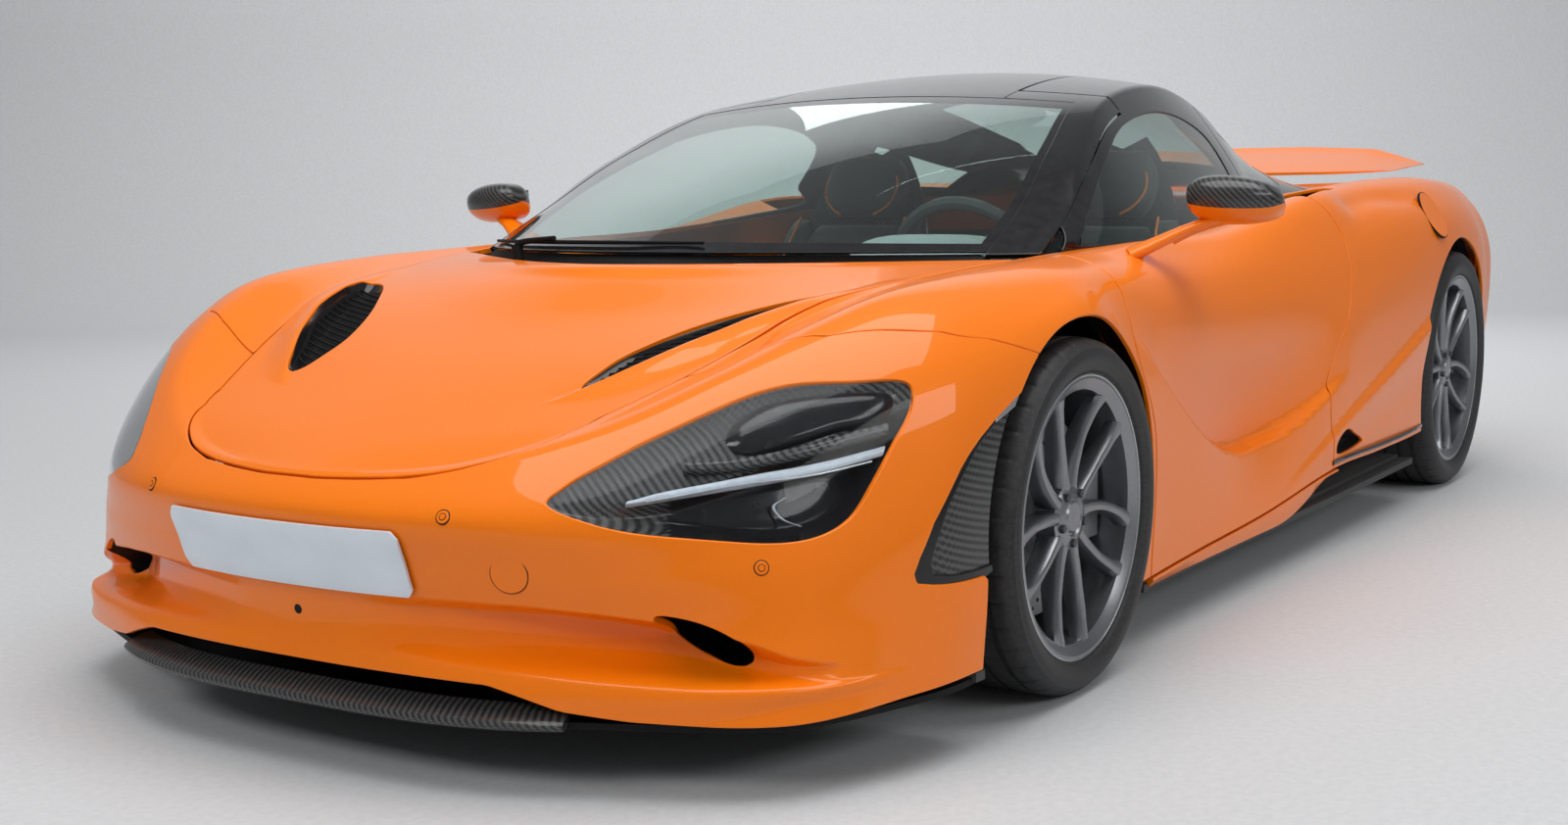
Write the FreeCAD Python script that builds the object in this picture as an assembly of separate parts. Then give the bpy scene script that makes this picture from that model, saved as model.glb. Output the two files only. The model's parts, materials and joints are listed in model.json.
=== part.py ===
import FreeCAD, Part
import math
import os

# Two-seat mid-engined coupe, one solid or set of solids for each named piece.
# Millimetres, +X forward, +Y to the car's left, +Z up.
# The origin is on the ground, under the middle of the car's length.

Vector = FreeCAD.Vector

# Overall sizes
WHEELBASE = 2670.0
FRONT_OVERHANG = 1060.0
REAR_OVERHANG = 839.0
BODY_WIDTH = 1930.0
BELT_HEIGHT = 790.0
ROOF_HEIGHT = 1196.0
LENGTH = FRONT_OVERHANG + WHEELBASE + REAR_OVERHANG
FRONT_AXLE_X = LENGTH / 2 - FRONT_OVERHANG
REAR_AXLE_X = FRONT_AXLE_X - WHEELBASE

# Wheels, tyres and brakes
FRONT_TYRE_RADIUS = 327.0
REAR_TYRE_RADIUS = 345.5
FRONT_TYRE_WIDTH = 245.0
REAR_TYRE_WIDTH = 305.0
FRONT_RIM_RADIUS = 258.5
REAR_RIM_RADIUS = 271.0
FRONT_TRACK = 1680.0
REAR_TRACK = 1629.0
RIM_WALL = 9.0
BEAD_FIT = 0.3
HUB_RADIUS = 62.0
SPOKE_PAIRS = 5
SPOKE_WIDTH = 24.0
SPOKE_DEPTH = 30.0
SPOKE_SWEEP_DEG = 27.0
DISC_THICKNESS = 30.0
FRONT_DISC_RADIUS = 188.0
REAR_DISC_RADIUS = 186.0
MOVING_GAP = 5.0
RUNNING_FIT = 0.05
KINGPIN_INSET = 75.0
ARCH_GAP = 42.0

# Walls and gaps
SKIN = 24.0
DOOR_DEPTH = 80.0
FRAME_DEPTH = 18.0
GLASS = 5.0
SHUT_GAP = 6.0
PART_GAP = 0.3
TAIL_SET_BACK = 26.0
SIDE_BULGE = 12.0
FLOOR_HEIGHT = 112.0
FLOOR_THICKNESS = 16.0

# Lengthwise rows of the left half of the body, from the nose's centre round the side to the tail's centre.
# x is ahead of the front axle. Columns, each (x, y, z): centre line, bonnet edge or window base,
# ridge, upper side, widest line, waist, lower edge
BODY_ROWS = (
    ("nose centre", (1005, 0, 488), (1005, 0, 488), (1005, 0, 488), (1060, 0, 435), (1036, 0, 350), (1010, 0, 250), (1032, 0, 150)),
    ("nose", (975, 0, 498), (945, 250, 502), (965, 290, 495), (1023, 320, 435), (1003, 325, 350), (978, 325, 250), (1012, 330, 145)),
    ("nose corner", (900, 0, 525), (835, 400, 545), (835, 510, 550), (905, 575, 450), (900, 600, 350), (885, 610, 250), (915, 610, 128)),
    ("lamp inner", (780, 0, 568), (670, 490, 605), (660, 650, 640), (715, 750, 530), (745, 790, 380), (760, 805, 250), (790, 820, 122)),
    ("lamp outer", (610, 0, 628), (490, 555, 672), (480, 730, 715), (530, 840, 620), (555, 890, 450), (570, 905, 260), (580, 915, 132)),
    ("arch front", (430, 0, 690), (310, 600, 722), (310, 770, 757), (345, 880, 690), (365, 937, 560), (385, 952, 300), (400, 950, 138)),
    ("front axle", (270, 0, 755), (60, 645, 758), (0, 795, 778), (0, 900, 745), (0, 962, 655), (0, 965, 400), (0, 952, 140)),
    ("door front", (170, 0, 785), (-270, 715, 782), (-270, 800, 783), (-270, 892, 735), (-275, 936, 600), (-375, 936, 420), (-375, 930, 145)),
    ("door a", (-300, 0, 790), (-620, 765, 795), (-620, 805, 782), (-620, 880, 715), (-640, 912, 590), (-680, 922, 400), (-660, 930, 155)),
    ("door b", (-900, 0, 790), (-1050, 765, 802), (-1050, 830, 780), (-1050, 885, 705), (-1050, 912, 560), (-1050, 905, 400), (-1050, 938, 170)),
    ("door rear", (-1500, 0, 800), (-1580, 690, 840), (-1620, 830, 870), (-1690, 905, 760), (-1640, 940, 600), (-1490, 945, 420), (-1510, 950, 205)),
    ("quarter", (-1900, 0, 810), (-1950, 600, 860), (-1950, 800, 885), (-1950, 905, 800), (-1950, 950, 650), (-1930, 955, 450), (-1900, 953, 200)),
    ("arch rear", (-2250, 0, 830), (-2300, 560, 870), (-2300, 790, 900), (-2300, 910, 830), (-2300, 960, 700), (-2300, 962, 450), (-2300, 955, 200)),
    ("rear axle", (-2650, 0, 850), (-2670, 530, 870), (-2670, 790, 906), (-2670, 910, 840), (-2670, 963, 710), (-2670, 963, 450), (-2670, 950, 220)),
    ("rear of arch", (-3040, 0, 860), (-3040, 480, 866), (-3030, 760, 895), (-3030, 880, 825), (-3030, 938, 690), (-3030, 943, 480), (-3030, 930, 300)),
    ("tail corner", (-3280, 0, 865), (-3270, 420, 868), (-3260, 690, 888), (-3285, 800, 810), (-3310, 850, 680), (-3310, 850, 500), (-3290, 830, 340)),
    ("tail", (-3350, 0, 868), (-3350, 250, 868), (-3365, 380, 880), (-3410, 420, 800), (-3430, 430, 680), (-3410, 430, 500), (-3360, 420, 340)),
    ("tail centre", (-3390, 0, 870), (-3390, 0, 870), (-3390, 0, 870), (-3425, 0, 800), (-3445, 0, 680), (-3420, 0, 500), (-3370, 0, 340)),
)

# Lengthwise rows of the left half of the canopy, from the windscreen's foot to the tail.
# Columns: top centre, pillar or roof rail, body row at which the window's base stands
CANOPY_ROWS = (
    ("foot", (172, 0, 788), (-300, 712, 782), 7.06),
    ("pillar a", (-150, 0, 915), (-480, 690, 870), 7.42),
    ("pillar b", (-500, 0, 1030), (-680, 640, 985), 8.07),
    ("header", (-920, 0, 1137), (-980, 560, 1105), 8.89),
    ("roof", (-1370, 0, 1196), (-1400, 510, 1148), 9.66),
    ("roof rear", (-1800, 0, 1172), (-1800, 480, 1092), 10.58),
    ("window rear", (-2250, 0, 1078), (-2200, 420, 990), 11.72),
    ("tail", (-2775, 0, 893), (-2765, 330, 890), 13.2),
)


def table_point(rows, name, column):
    return next(row for row in rows if row[0] == name)[column]


# The table's own proportions; the sizes above stretch it
TABLE_POINTS = [point for row in BODY_ROWS for point in row[1:]]
TABLE_WHEELBASE = -table_point(BODY_ROWS, "rear axle", 3)[0]
TABLE_FRONT_OVERHANG = max(x for x, y, z in TABLE_POINTS)
TABLE_REAR_OVERHANG = -min(x for x, y, z in TABLE_POINTS) - TABLE_WHEELBASE
TABLE_WIDTH = 2 * max(y for x, y, z in TABLE_POINTS)
TABLE_BELT = table_point(BODY_ROWS, "door b", 1)[2]
TABLE_ROOF = table_point(CANOPY_ROWS, "roof", 1)[2]


def place(point):
    """A table point, stretched to the sizes above, in the car's own frame."""
    x, y, z = point
    if x >= 0:
        x = FRONT_AXLE_X + x * FRONT_OVERHANG / TABLE_FRONT_OVERHANG
    elif x > -TABLE_WHEELBASE:
        x = FRONT_AXLE_X + x * WHEELBASE / TABLE_WHEELBASE
    else:
        x = REAR_AXLE_X + (x + TABLE_WHEELBASE) * (REAR_OVERHANG - TAIL_SET_BACK) / TABLE_REAR_OVERHANG
    return Vector(x, y * BODY_WIDTH / TABLE_WIDTH, z * BELT_HEIGHT / TABLE_BELT)


def place_canopy(point):
    """A canopy point; above the window's base it is stretched to the roof's height."""
    placed = place(point)
    if point[2] > TABLE_BELT:
        placed.z = BELT_HEIGHT + (point[2] - TABLE_BELT) * (ROOF_HEIGHT - BELT_HEIGHT) / (TABLE_ROOF - TABLE_BELT)
    return placed


def smooth(points, t, before=None, after=None):
    """The point at t on the smooth curve through points, one unit of t for each span."""
    last = len(points) - 1
    i = min(max(int(math.floor(t)), 0), last - 1)
    f = t - i
    b, c = points[i], points[i + 1]
    a = points[i - 1] if i > 0 else (before or b * 2 - c)
    d = points[i + 2] if i + 2 <= last else (after or c * 2 - b)
    return (b * 2 + (c - a) * f + (a * 2 - b * 5 + c * 4 - d) * f ** 2 + (b * 3 - a - c * 3 + d) * f ** 3) * 0.5


def flipped(point):
    return Vector(point.x, -point.y, point.z)


# The tables in the car's frame: points by row, then by column
BODY = [[place(point) for point in row[1:]] for row in BODY_ROWS]
CANOPY = [[place_canopy(top), place_canopy(rail)] for name, top, rail, base_row in CANOPY_ROWS]
BASE_ROWS = [base_row for name, top, rail, base_row in CANOPY_ROWS]


def body(u, v):
    """The body's outer skin at row u and column v; a negative v is the right side."""
    columns = []
    for k in range(len(BODY[0])):
        points = [row[k] for row in BODY]
        columns.append(smooth(points, u, flipped(points[1]), flipped(points[-2])))
    point = smooth(columns, abs(v), flipped(columns[1]))
    return flipped(point) if v < 0 else point


def body_row(u):
    """The body's row at which the window's base stands at canopy row u."""
    return smooth(BASE_ROWS, u)


def canopy(u, v):
    """The canopy's outer skin: a crowned roof and screen out to the rail, then a slightly round side."""
    top, rail = (smooth([row[k] for row in CANOPY], u) for k in (0, 1))
    share = abs(v)
    if share <= 1:
        crown = share ** 2
        point = Vector(top.x + (rail.x - top.x) * crown, rail.y * share, top.z + (rail.z - top.z) * crown)
    else:
        down = share - 1
        point = rail + (body(body_row(u), 1) - rail) * down + Vector(0, SIDE_BULGE * 4 * down * (1 - down), 0)
    return flipped(point) if v < 0 else point


def skin_offset(skin, u, v, depth):
    """A skin's point moved inwards by depth along the surface's normal."""
    step = 0.02
    centre = skin(u, v)
    if depth == 0:
        return centre
    inward = (skin(u + step, v) - skin(u - step, v)).cross(skin(u, v + step) - skin(u, v - step))
    return centre if inward.Length < 1e-9 else centre + inward.normalize() * depth


def facets(a, b, c, d):
    """One flat face on four corners, or two where they don't lie in a plane. Corners may coincide."""
    normal = (b - a).cross(c - a)
    apart = min((a - b).Length, (b - c).Length, (c - d).Length, (d - a).Length) > 1e-3
    if apart and normal.Length > 1e-6 and abs((d - a).dot(normal.normalize())) < 1e-5:
        return [Part.Face(Part.makePolygon([a, b, c, d, a]))]
    halves = ((a, b, d), (b, c, d)) if (b - d).Length < (a - c).Length else ((a, b, c), (a, c, d))
    faces = []
    for p, q, r in halves:
        sides = min((p - q).Length, (q - r).Length, (r - p).Length)
        if sides > 1e-3 and (q - p).cross(r - p).Length > 1e-4:
            faces.append(Part.Face(Part.makePolygon([p, q, r, p])))
    return faces


def closed_solid(faces):
    shell = Part.makeShell(faces)
    shell.sewShape()
    solid = Part.makeSolid(shell)
    if solid.Volume < 0:
        solid.reverse()
    return solid


def thick_patch(outer, inner):
    """A closed solid between two grids of points of the same size."""
    rows, columns = len(outer), len(outer[0])
    faces = []
    for i in range(rows - 1):
        for j in range(columns - 1):
            for grid in (outer, inner):
                faces += facets(grid[i][j], grid[i][j + 1], grid[i + 1][j + 1], grid[i + 1][j])
        for j in (0, columns - 1):
            faces += facets(outer[i][j], outer[i + 1][j], inner[i + 1][j], inner[i][j])
    for j in range(columns - 1):
        for i in (0, rows - 1):
            faces += facets(outer[i][j], outer[i][j + 1], inner[i][j + 1], inner[i][j])
    return closed_solid(faces)


def skinned(sections):
    """A closed solid through rings of points, with flat or fanned ends."""
    count = len(sections[0])
    faces = []
    for low, high in zip(sections, sections[1:]):
        for k in range(count):
            n = (k + 1) % count
            faces += facets(low[k], low[n], high[n], high[k])
    for ring in (sections[0], sections[-1]):
        middle = sum(ring, Vector()) * (1.0 / count)
        for k in range(count):
            faces += facets(middle, ring[k], ring[(k + 1) % count], ring[(k + 1) % count])
    return closed_solid(faces)


def spread(low, high, count):
    return [low + (high - low) * k / (count - 1) for k in range(count)]


def body_grid(us, vs, depth):
    """The body's points on a grid, depth inside the skin."""
    return [[skin_offset(body, u, v, depth) for v in vs] for u in us]


def body_patch(u_range, v_range, counts, depth=SKIN, proud=0.0):
    """A thick piece of the body's skin between two rows and two columns."""
    us = spread(u_range[0], u_range[1], counts[0])
    vs = spread(v_range[0], v_range[1], counts[1])
    return thick_patch(body_grid(us, vs, -proud), body_grid(us, vs, depth))


def masked_solid(outer, inner, filled):
    """A closed solid between two grids of points, made of the filled cells only."""
    faces = []
    for i, j in sorted(filled):
        for grid in (outer, inner):
            faces += facets(grid[i][j], grid[i][j + 1], grid[i + 1][j + 1], grid[i + 1][j])
        edges = (((i - 1, j), (i, j), (i, j + 1)), ((i + 1, j), (i + 1, j), (i + 1, j + 1)),
                 ((i, j - 1), (i, j), (i + 1, j)), ((i, j + 1), (i, j + 1), (i + 1, j + 1)))
        for neighbour, (p, q), (r, t) in edges:
            if neighbour not in filled:
                faces += facets(outer[p][q], outer[r][t], inner[r][t], inner[p][q])
    return closed_solid(faces)


def masked_patch(skin, us, vs_at, is_solid, depth):
    """A thick piece of a skin on a grid, left open where is_solid(u, v) is false.

    vs_at(u) gives the columns at row u, the same number for every row.
    """
    outer = [[skin_offset(skin, u, v, 0) for v in vs_at(u)] for u in us]
    inner = [[skin_offset(skin, u, v, depth) for v in vs_at(u)] for u in us]
    filled = set()
    for i, (low, high) in enumerate(zip(us, us[1:])):
        vs = vs_at((low + high) / 2)
        filled |= {(i, j) for j in range(len(vs) - 1) if is_solid((low + high) / 2, (vs[j] + vs[j + 1]) / 2)}
    return masked_solid(outer, inner, filled)


def wrapped_patch(us, vs, is_solid, depth=SKIN):
    """A thick piece of skin that goes round the nose or the tail; us ends on the centre line."""
    def grid(inset):
        left = body_grid(us, vs, inset)
        for point in left[-1]:
            point.y = 0
        right = [[Vector(p.x, -p.y, p.z) for p in row] for row in left[:-1]]
        return left + right[::-1]

    count = len(us) - 1
    filled = set()
    for i in range(count):
        for j in range(len(vs) - 1):
            if is_solid((us[i] + us[i + 1]) / 2, (vs[j] + vs[j + 1]) / 2):
                filled |= {(i, j), (2 * count - 1 - i, j)}
    return masked_solid(grid(0), grid(depth), filled)


def mirrored(shape):
    """The same shape on the car's right side."""
    return shape.mirror(Vector(0, 0, 0), Vector(0, 1, 0))


def both_sides(shape):
    return Part.makeCompound([shape, mirrored(shape)])


def prism(points, direction):
    """A flat outline pushed along direction."""
    return Part.Face(Part.makePolygon(points + [points[0]])).extrude(direction)


def grown_prism(outline, gap, direction):
    """The room round a flat outline: each corner moved out by gap, then pushed along direction."""
    unit = Vector(direction).normalize()
    count = len(outline)
    area = sum((outline[k - 1].cross(outline[k]) for k in range(count)), Vector()).dot(unit)
    corners = []
    for k in range(count):
        before = (outline[k] - outline[k - 1]).normalize()
        after = (outline[(k + 1) % count] - outline[k]).normalize()
        outward = (before + after).normalize().cross(unit) * math.copysign(1, area)
        corners.append(outline[k] + outward * (gap / max(before.cross(unit).dot(outward) * math.copysign(1, area), 0.4)))
    return prism(corners, direction)


def box(low, high):
    return Part.makeBox(high[0] - low[0], high[1] - low[1], high[2] - low[2], Vector(*low))


def cylinder_y(radius, x, z, y_low, y_high):
    return Part.makeCylinder(radius, y_high - y_low, Vector(x, y_low, z), Vector(0, 1, 0))


def fused(shapes):
    return shapes[0].multiFuse(shapes[1:]).removeSplitter() if len(shapes) > 1 else shapes[0]


def shut_gap(u):
    """Half the shut gap at row u, as a share of a row."""
    lengths = [(body(u + 0.25, v) - body(u - 0.25, v)).Length * 2
               for v in (1, 2, 3, 4, 5, 6)]
    return SHUT_GAP / 2 / min(lengths)


# Rows and columns where the panels part
ROW_BUMPER_END = 5.0
ROW_COWL = 6.85
ROW_DOOR_FRONT = 7.0
ROW_DOOR_REAR = 10.0
ROW_TAIL = 15.0
ROW_LAST = 17.0
COLUMN_BONNET = 1.0
COLUMN_EDGE = 6.0
ROW_DECK_FRONT = 13.36
LID_END_MARGIN = 0.2
NOSE_ROWS = [0.64, 1.0, 1.5, 2.0, 2.5, 3.0, 3.5, 4.0, 4.5, ROW_BUMPER_END]
BONNET_DEPTH = 16.0

FRONT_ARCH_RADIUS = FRONT_TYRE_RADIUS + ARCH_GAP
REAR_ARCH_RADIUS = REAR_TYRE_RADIUS + ARCH_GAP
ARCH_FACETS = 48
HALF_WIDTH = BODY_WIDTH / 2
ARCH_INNER_Y = 515.0


def arch_cut(x, tyre_radius, arch_radius):
    """The wheel's arch as a prism of flat faces round the arch's radius."""
    reach = arch_radius / math.cos(math.pi / ARCH_FACETS)
    corners = []
    for k in range(ARCH_FACETS):
        angle = 2 * math.pi * (k + 0.5) / ARCH_FACETS
        corners.append(Vector(x + reach * math.cos(angle), ARCH_INNER_Y, tyre_radius + reach * math.sin(angle)))
    return prism(corners, Vector(0, HALF_WIDTH + SKIN - ARCH_INNER_Y, 0))


def front_arch():
    return arch_cut(FRONT_AXLE_X, FRONT_TYRE_RADIUS, FRONT_ARCH_RADIUS)


def rear_arch():
    return arch_cut(REAR_AXLE_X, REAR_TYRE_RADIUS, REAR_ARCH_RADIUS)


# Outline of the left head lamp seen from the front: (y, z)
LAMP_OUTLINE = ((425, 446), (560, 545), (690, 606), (790, 628), (850, 618), (876, 580),
                (868, 500), (835, 430), (760, 392), (620, 388), (500, 410))
LAMP_DEPTH = 55.0
LAMP_CLEARANCE = 2.0
INTAKE_OUTLINE = ((610, 302), (690, 298), (775, 262), (795, 238), (700, 236), (620, 250))


def front_outline(points, inset=0.0):
    """An outline seen from the front, pushed back through the nose's side."""
    y_mid = sum(p[0] for p in points) / len(points)
    z_mid = sum(p[1] for p in points) / len(points)
    corners = []
    for y, z in points:
        out = Vector(0, y - y_mid, z - z_mid)
        corners.append(Vector(LENGTH / 2, y_mid, z_mid) + out * (1 - inset / out.Length))
    return prism(corners, Vector(-FRONT_OVERHANG + FRONT_ARCH_RADIUS - 60, 0, 0))


def end_strip_mask(row_centre, margin):
    """Open the strip beside a lid where it runs out on the centre line."""
    return lambda u, v: v > COLUMN_BONNET + 1 or abs(u - row_centre) > margin


def make_front_bumper():
    us = NOSE_ROWS[::-1] + [LID_END_MARGIN, 0.0]
    us[0] -= shut_gap(ROW_BUMPER_END)
    vs = [COLUMN_BONNET, COLUMN_BONNET + 0.5] + spread(COLUMN_BONNET + 1, COLUMN_EDGE, 10)
    shell = wrapped_patch(us, vs, end_strip_mask(0.0, LID_END_MARGIN))
    cuts = (front_outline(LAMP_OUTLINE), front_outline(INTAKE_OUTLINE), front_arch())
    return shell.cut(Part.makeCompound([both_sides(c) for c in cuts]))


def shut_share(skin, u, v):
    """The shut gap at row u as a share of a column, next to column v."""
    return SHUT_GAP * 0.02 / (skin(u, v + 0.02) - skin(u, v)).Length


def lid_columns(u):
    """Columns of a lid across the car at row u, clear of the panels beside it by the shut gap."""
    edge = COLUMN_BONNET - shut_share(body, u, COLUMN_BONNET - 0.02)
    return spread(-edge, edge, 9)


# Bonnet hinge: a pin on each fender, and an eye on an arm at each rear corner of the bonnet
HINGE_X = FRONT_AXLE_X - 235.0
HINGE_Z = 770.0 * BELT_HEIGHT / TABLE_BELT
HINGE_EYE_Y = (688.0, 696.0)
HINGE_EYE_RADIUS = 9.0
HINGE_PIN_Y = (684.0, 714.0)
HINGE_PIN_RADIUS = 5.0
HINGE_ARM_LENGTH = 32.0
HINGE_ARM_HALF_HEIGHT = 5.0


def hinge_pin(radius):
    return cylinder_y(radius, HINGE_X, HINGE_Z, *HINGE_PIN_Y)


def make_bonnet():
    us = NOSE_ROWS + spread(ROW_BUMPER_END, ROW_COWL, 4)[1:]
    lid = masked_patch(body, us, lid_columns, lambda u, v: True, BONNET_DEPTH)
    eye = cylinder_y(HINGE_EYE_RADIUS, HINGE_X, HINGE_Z, *HINGE_EYE_Y)
    arm = box((HINGE_X, HINGE_EYE_Y[0], HINGE_Z - HINGE_ARM_HALF_HEIGHT),
              (HINGE_X + HINGE_ARM_LENGTH, HINGE_EYE_Y[1], HINGE_Z + HINGE_ARM_HALF_HEIGHT))
    hinge = eye.fuse(arm).cut(hinge_pin(HINGE_PIN_RADIUS + RUNNING_FIT))
    return lid.multiFuse([hinge, mirrored(hinge)])


def make_headlights():
    lens = body_patch((1.2, ROW_BUMPER_END), (COLUMN_BONNET + 0.5, 5.0), (9, 9), LAMP_DEPTH)
    return both_sides(lens.common(front_outline(LAMP_OUTLINE, LAMP_CLEARANCE)).cut(front_arch()))


# Bracket under each fender, seated on the side of the tub's front bulkhead
BRACKET_LOW = 726.0
BRACKET_TOP = 746.0
BRACKET_END_TOP = 768.0
BRACKET_END_Y = (712.0, 724.0)


def fender_bracket():
    rear, front = TUB_FRONT_X - TUB_WALL, TUB_FRONT_X
    arm = box((rear, FOOTWELL_HALF_WIDTH + PART_GAP, BRACKET_LOW), (front, BRACKET_END_Y[1], BRACKET_TOP))
    return arm.fuse(box((rear, BRACKET_END_Y[0], BRACKET_LOW), (front, BRACKET_END_Y[1], BRACKET_END_TOP)))


def make_front_fenders():
    rows = (ROW_BUMPER_END + shut_gap(ROW_BUMPER_END), ROW_DOOR_FRONT - shut_gap(ROW_DOOR_FRONT))
    panel = body_patch(rows, (COLUMN_BONNET, COLUMN_EDGE), (7, 11)).cut(front_arch())
    return both_sides(panel.multiFuse([hinge_pin(HINGE_PIN_RADIUS), fender_bracket()]))


DOOR_REAR_TAPER = 0.07
DOOR_EDGE = 30.0
COLUMN_SIDE = 3.0
ROOM_INNER_Y = 690.0


def door_rows():
    return (ROW_DOOR_FRONT + shut_gap(ROW_DOOR_FRONT), ROW_DOOR_REAR - shut_gap(ROW_DOOR_REAR))


def door_inner(u, v):
    """The door's inner wall: straight in from the side, then slanted up to the window's base."""
    point = body(u, max(v, COLUMN_SIDE)) - Vector(0, DOOR_DEPTH, 0)
    if v >= COLUMN_SIDE:
        return point
    top = body(u, COLUMN_BONNET) - Vector(0, 0, DOOR_EDGE)
    slanted = top + (point - top) * ((v - COLUMN_BONNET) / (COLUMN_SIDE - COLUMN_BONNET))
    return Vector(body(u, v).x, slanted.y, slanted.z)


def make_door():
    """One thick shell; its top edge shares its corners with the window frame's base."""
    front, rear = door_rows()
    us = [front] + [row for row in map(body_row, DOOR_US) if front + 0.1 < row < rear - 0.1] + [rear]
    vs = spread(COLUMN_BONNET, COLUMN_EDGE, 11)
    tapered = [u - DOOR_REAR_TAPER * (u - front) / (rear - front) for u in us]
    inner = [[door_inner(u, v) for v in vs] for u in tapered]
    return thick_patch(body_grid(us, vs, 0), inner).cut(front_arch())


def door_room():
    """The room that the door and its shut gap take, seen from the side."""
    front, rear = door_rows()
    top = [body(u, COLUMN_BONNET) for u in spread(front, rear, 10)]
    back = [body(rear, v) for v in spread(COLUMN_BONNET, COLUMN_EDGE, 11)]
    foot = [body(u, COLUMN_EDGE) for u in spread(rear, front, 6)]
    lead = [body(front, v) for v in spread(COLUMN_EDGE, COLUMN_SIDE, 7)] + top[:1]
    outline = top[:-1] + back[:-1] + foot[:-1] + lead[:-1]
    outline = [Vector(p.x, ROOM_INNER_Y, p.z) for p in outline]
    return grown_prism(outline, SHUT_GAP, Vector(0, HALF_WIDTH - ROOM_INNER_Y + SKIN, 0))


ROW_INTAKE_REAR = 11.0


def make_rear_quarters():
    """Side and shoulder in one; the shoulder starts behind the intake's mouth."""
    front, rear = ROW_DOOR_REAR + shut_gap(ROW_DOOR_REAR), ROW_TAIL - shut_gap(ROW_TAIL)
    base = [row for row in map(body_row, FRAME_US) if ROW_INTAKE_REAR + 0.1 < row < rear - 1.2]
    us = spread(front, ROW_INTAKE_REAR, 4) + base + spread(base[-1], rear, 4)[1:]
    vs = [COLUMN_BONNET, COLUMN_BONNET + 0.5] + spread(COLUMN_BONNET + 1, COLUMN_EDGE, 11)

    def is_solid(u, v):
        return u > ROW_INTAKE_REAR or v > COLUMN_BONNET + 1

    quarter = masked_patch(body, us, lambda u: vs, is_solid, SKIN)
    return both_sides(quarter.cut(rear_arch()).cut(door_room()))


TAIL_LAMP_ROWS = (15.1, 16.3)
TAIL_LAMP_COLUMNS = (2.55, 2.85)
TAIL_LAMP_DEPTH = 18.0
TAIL_LAMP_FIT = 0.01


def make_rear_bumper():
    us = spread(ROW_TAIL + shut_gap(ROW_TAIL), ROW_LAST - LID_END_MARGIN, 6) + [ROW_LAST]
    vs = [COLUMN_BONNET, COLUMN_BONNET + 0.5] + spread(COLUMN_BONNET + 1, COLUMN_EDGE, 10)
    shell = wrapped_patch(us, vs, end_strip_mask(ROW_LAST, LID_END_MARGIN))
    lamp = body_patch(TAIL_LAMP_ROWS, TAIL_LAMP_COLUMNS, (6, 3), SKIN * 2, SKIN)
    holes = [Part.makeCylinder(PIPE_RADIUS + PART_GAP, 300, Vector(-LENGTH / 2 - 50, y, PIPE_Z), Vector(1, 0, 0))
             for y in PIPE_Y]
    return shell.cut(Part.makeCompound([both_sides(lamp)] + holes))


def make_tail_lamps(bumper):
    rows = (TAIL_LAMP_ROWS[0] + TAIL_LAMP_FIT, TAIL_LAMP_ROWS[1] - TAIL_LAMP_FIT)
    columns = (TAIL_LAMP_COLUMNS[0] + TAIL_LAMP_FIT, TAIL_LAMP_COLUMNS[1] - TAIL_LAMP_FIT)
    lamps = both_sides(body_patch(rows, columns, (6, 3), TAIL_LAMP_DEPTH))
    return lamps.cut(bumper)


# Tail pipes, high in the middle of the tail
PIPE_RADIUS = 48.0
PIPE_WALL = 3.0
PIPE_LENGTH = 420.0
PIPE_Z = 640.0
PIPE_Y = (-75.0, 75.0)


def make_exhaust():
    pipes = []
    for y in PIPE_Y:
        start = Vector(-LENGTH / 2 + 12, y, PIPE_Z)
        outer = Part.makeCylinder(PIPE_RADIUS, PIPE_LENGTH, start, Vector(1, 0, 0))
        pipes.append(outer.cut(Part.makeCylinder(PIPE_RADIUS - PIPE_WALL, PIPE_LENGTH - 30, start, Vector(1, 0, 0))))
    silencer = box((-LENGTH / 2 + PIPE_LENGTH, -330, PIPE_Z - 90), (-LENGTH / 2 + PIPE_LENGTH + 180, 330, PIPE_Z + 70))
    return fused([silencer] + pipes)


def lower_outline(us, inset):
    """The lower edge's plan, inset towards the middle."""
    points = []
    for u in us:
        p = skin_offset(body, u, 5.98, inset)
        points.append((p.x, max(p.y, 0)))
    return points


def floor_plate(us, inset, low, thickness):
    left = lower_outline(us, inset)
    outline = [Vector(x, y, low) for x, y in left] + [Vector(x, -y, low) for x, y in reversed(left) if y > 1]
    return prism(outline, Vector(0, 0, thickness))


WELL_MARGIN = 25.0


def wheel_wells(low=-10.0, high=1000.0):
    wells = []
    for x, r in ((FRONT_AXLE_X, FRONT_ARCH_RADIUS), (REAR_AXLE_X, REAR_ARCH_RADIUS)):
        wells.append(box((x - r, ARCH_INNER_Y, low), (x + r, HALF_WIDTH + WELL_MARGIN, high)))
    return both_sides(Part.makeCompound(wells))


SPLITTER_REAR_X = FRONT_AXLE_X + FRONT_ARCH_RADIUS + 30.0
SPLITTER_THICKNESS = 12.0


def make_front_splitter(bumper):
    plate = floor_plate(spread(0.0, 5.0, 12), 12.0, FLOOR_HEIGHT - 4, SPLITTER_THICKNESS)
    plate = plate.cut(box((-LENGTH, -HALF_WIDTH, 0), (SPLITTER_REAR_X, HALF_WIDTH, 400)))
    return plate.cut(bumper).cut(bumper.translated(Vector(0, 0, -PART_GAP)))


def make_underfloor():
    plate = floor_plate(spread(3.0, 14.2, 20), 14.0, FLOOR_HEIGHT, FLOOR_THICKNESS)
    front = box((SPLITTER_REAR_X - PART_GAP, -HALF_WIDTH, 0), (LENGTH, HALF_WIDTH, 400))
    rear = box((-LENGTH, -HALF_WIDTH, 0), (DIFFUSER_START_X + PART_GAP, HALF_WIDTH, 400))
    return plate.cut(wheel_wells()).cut(front).cut(rear)


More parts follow.
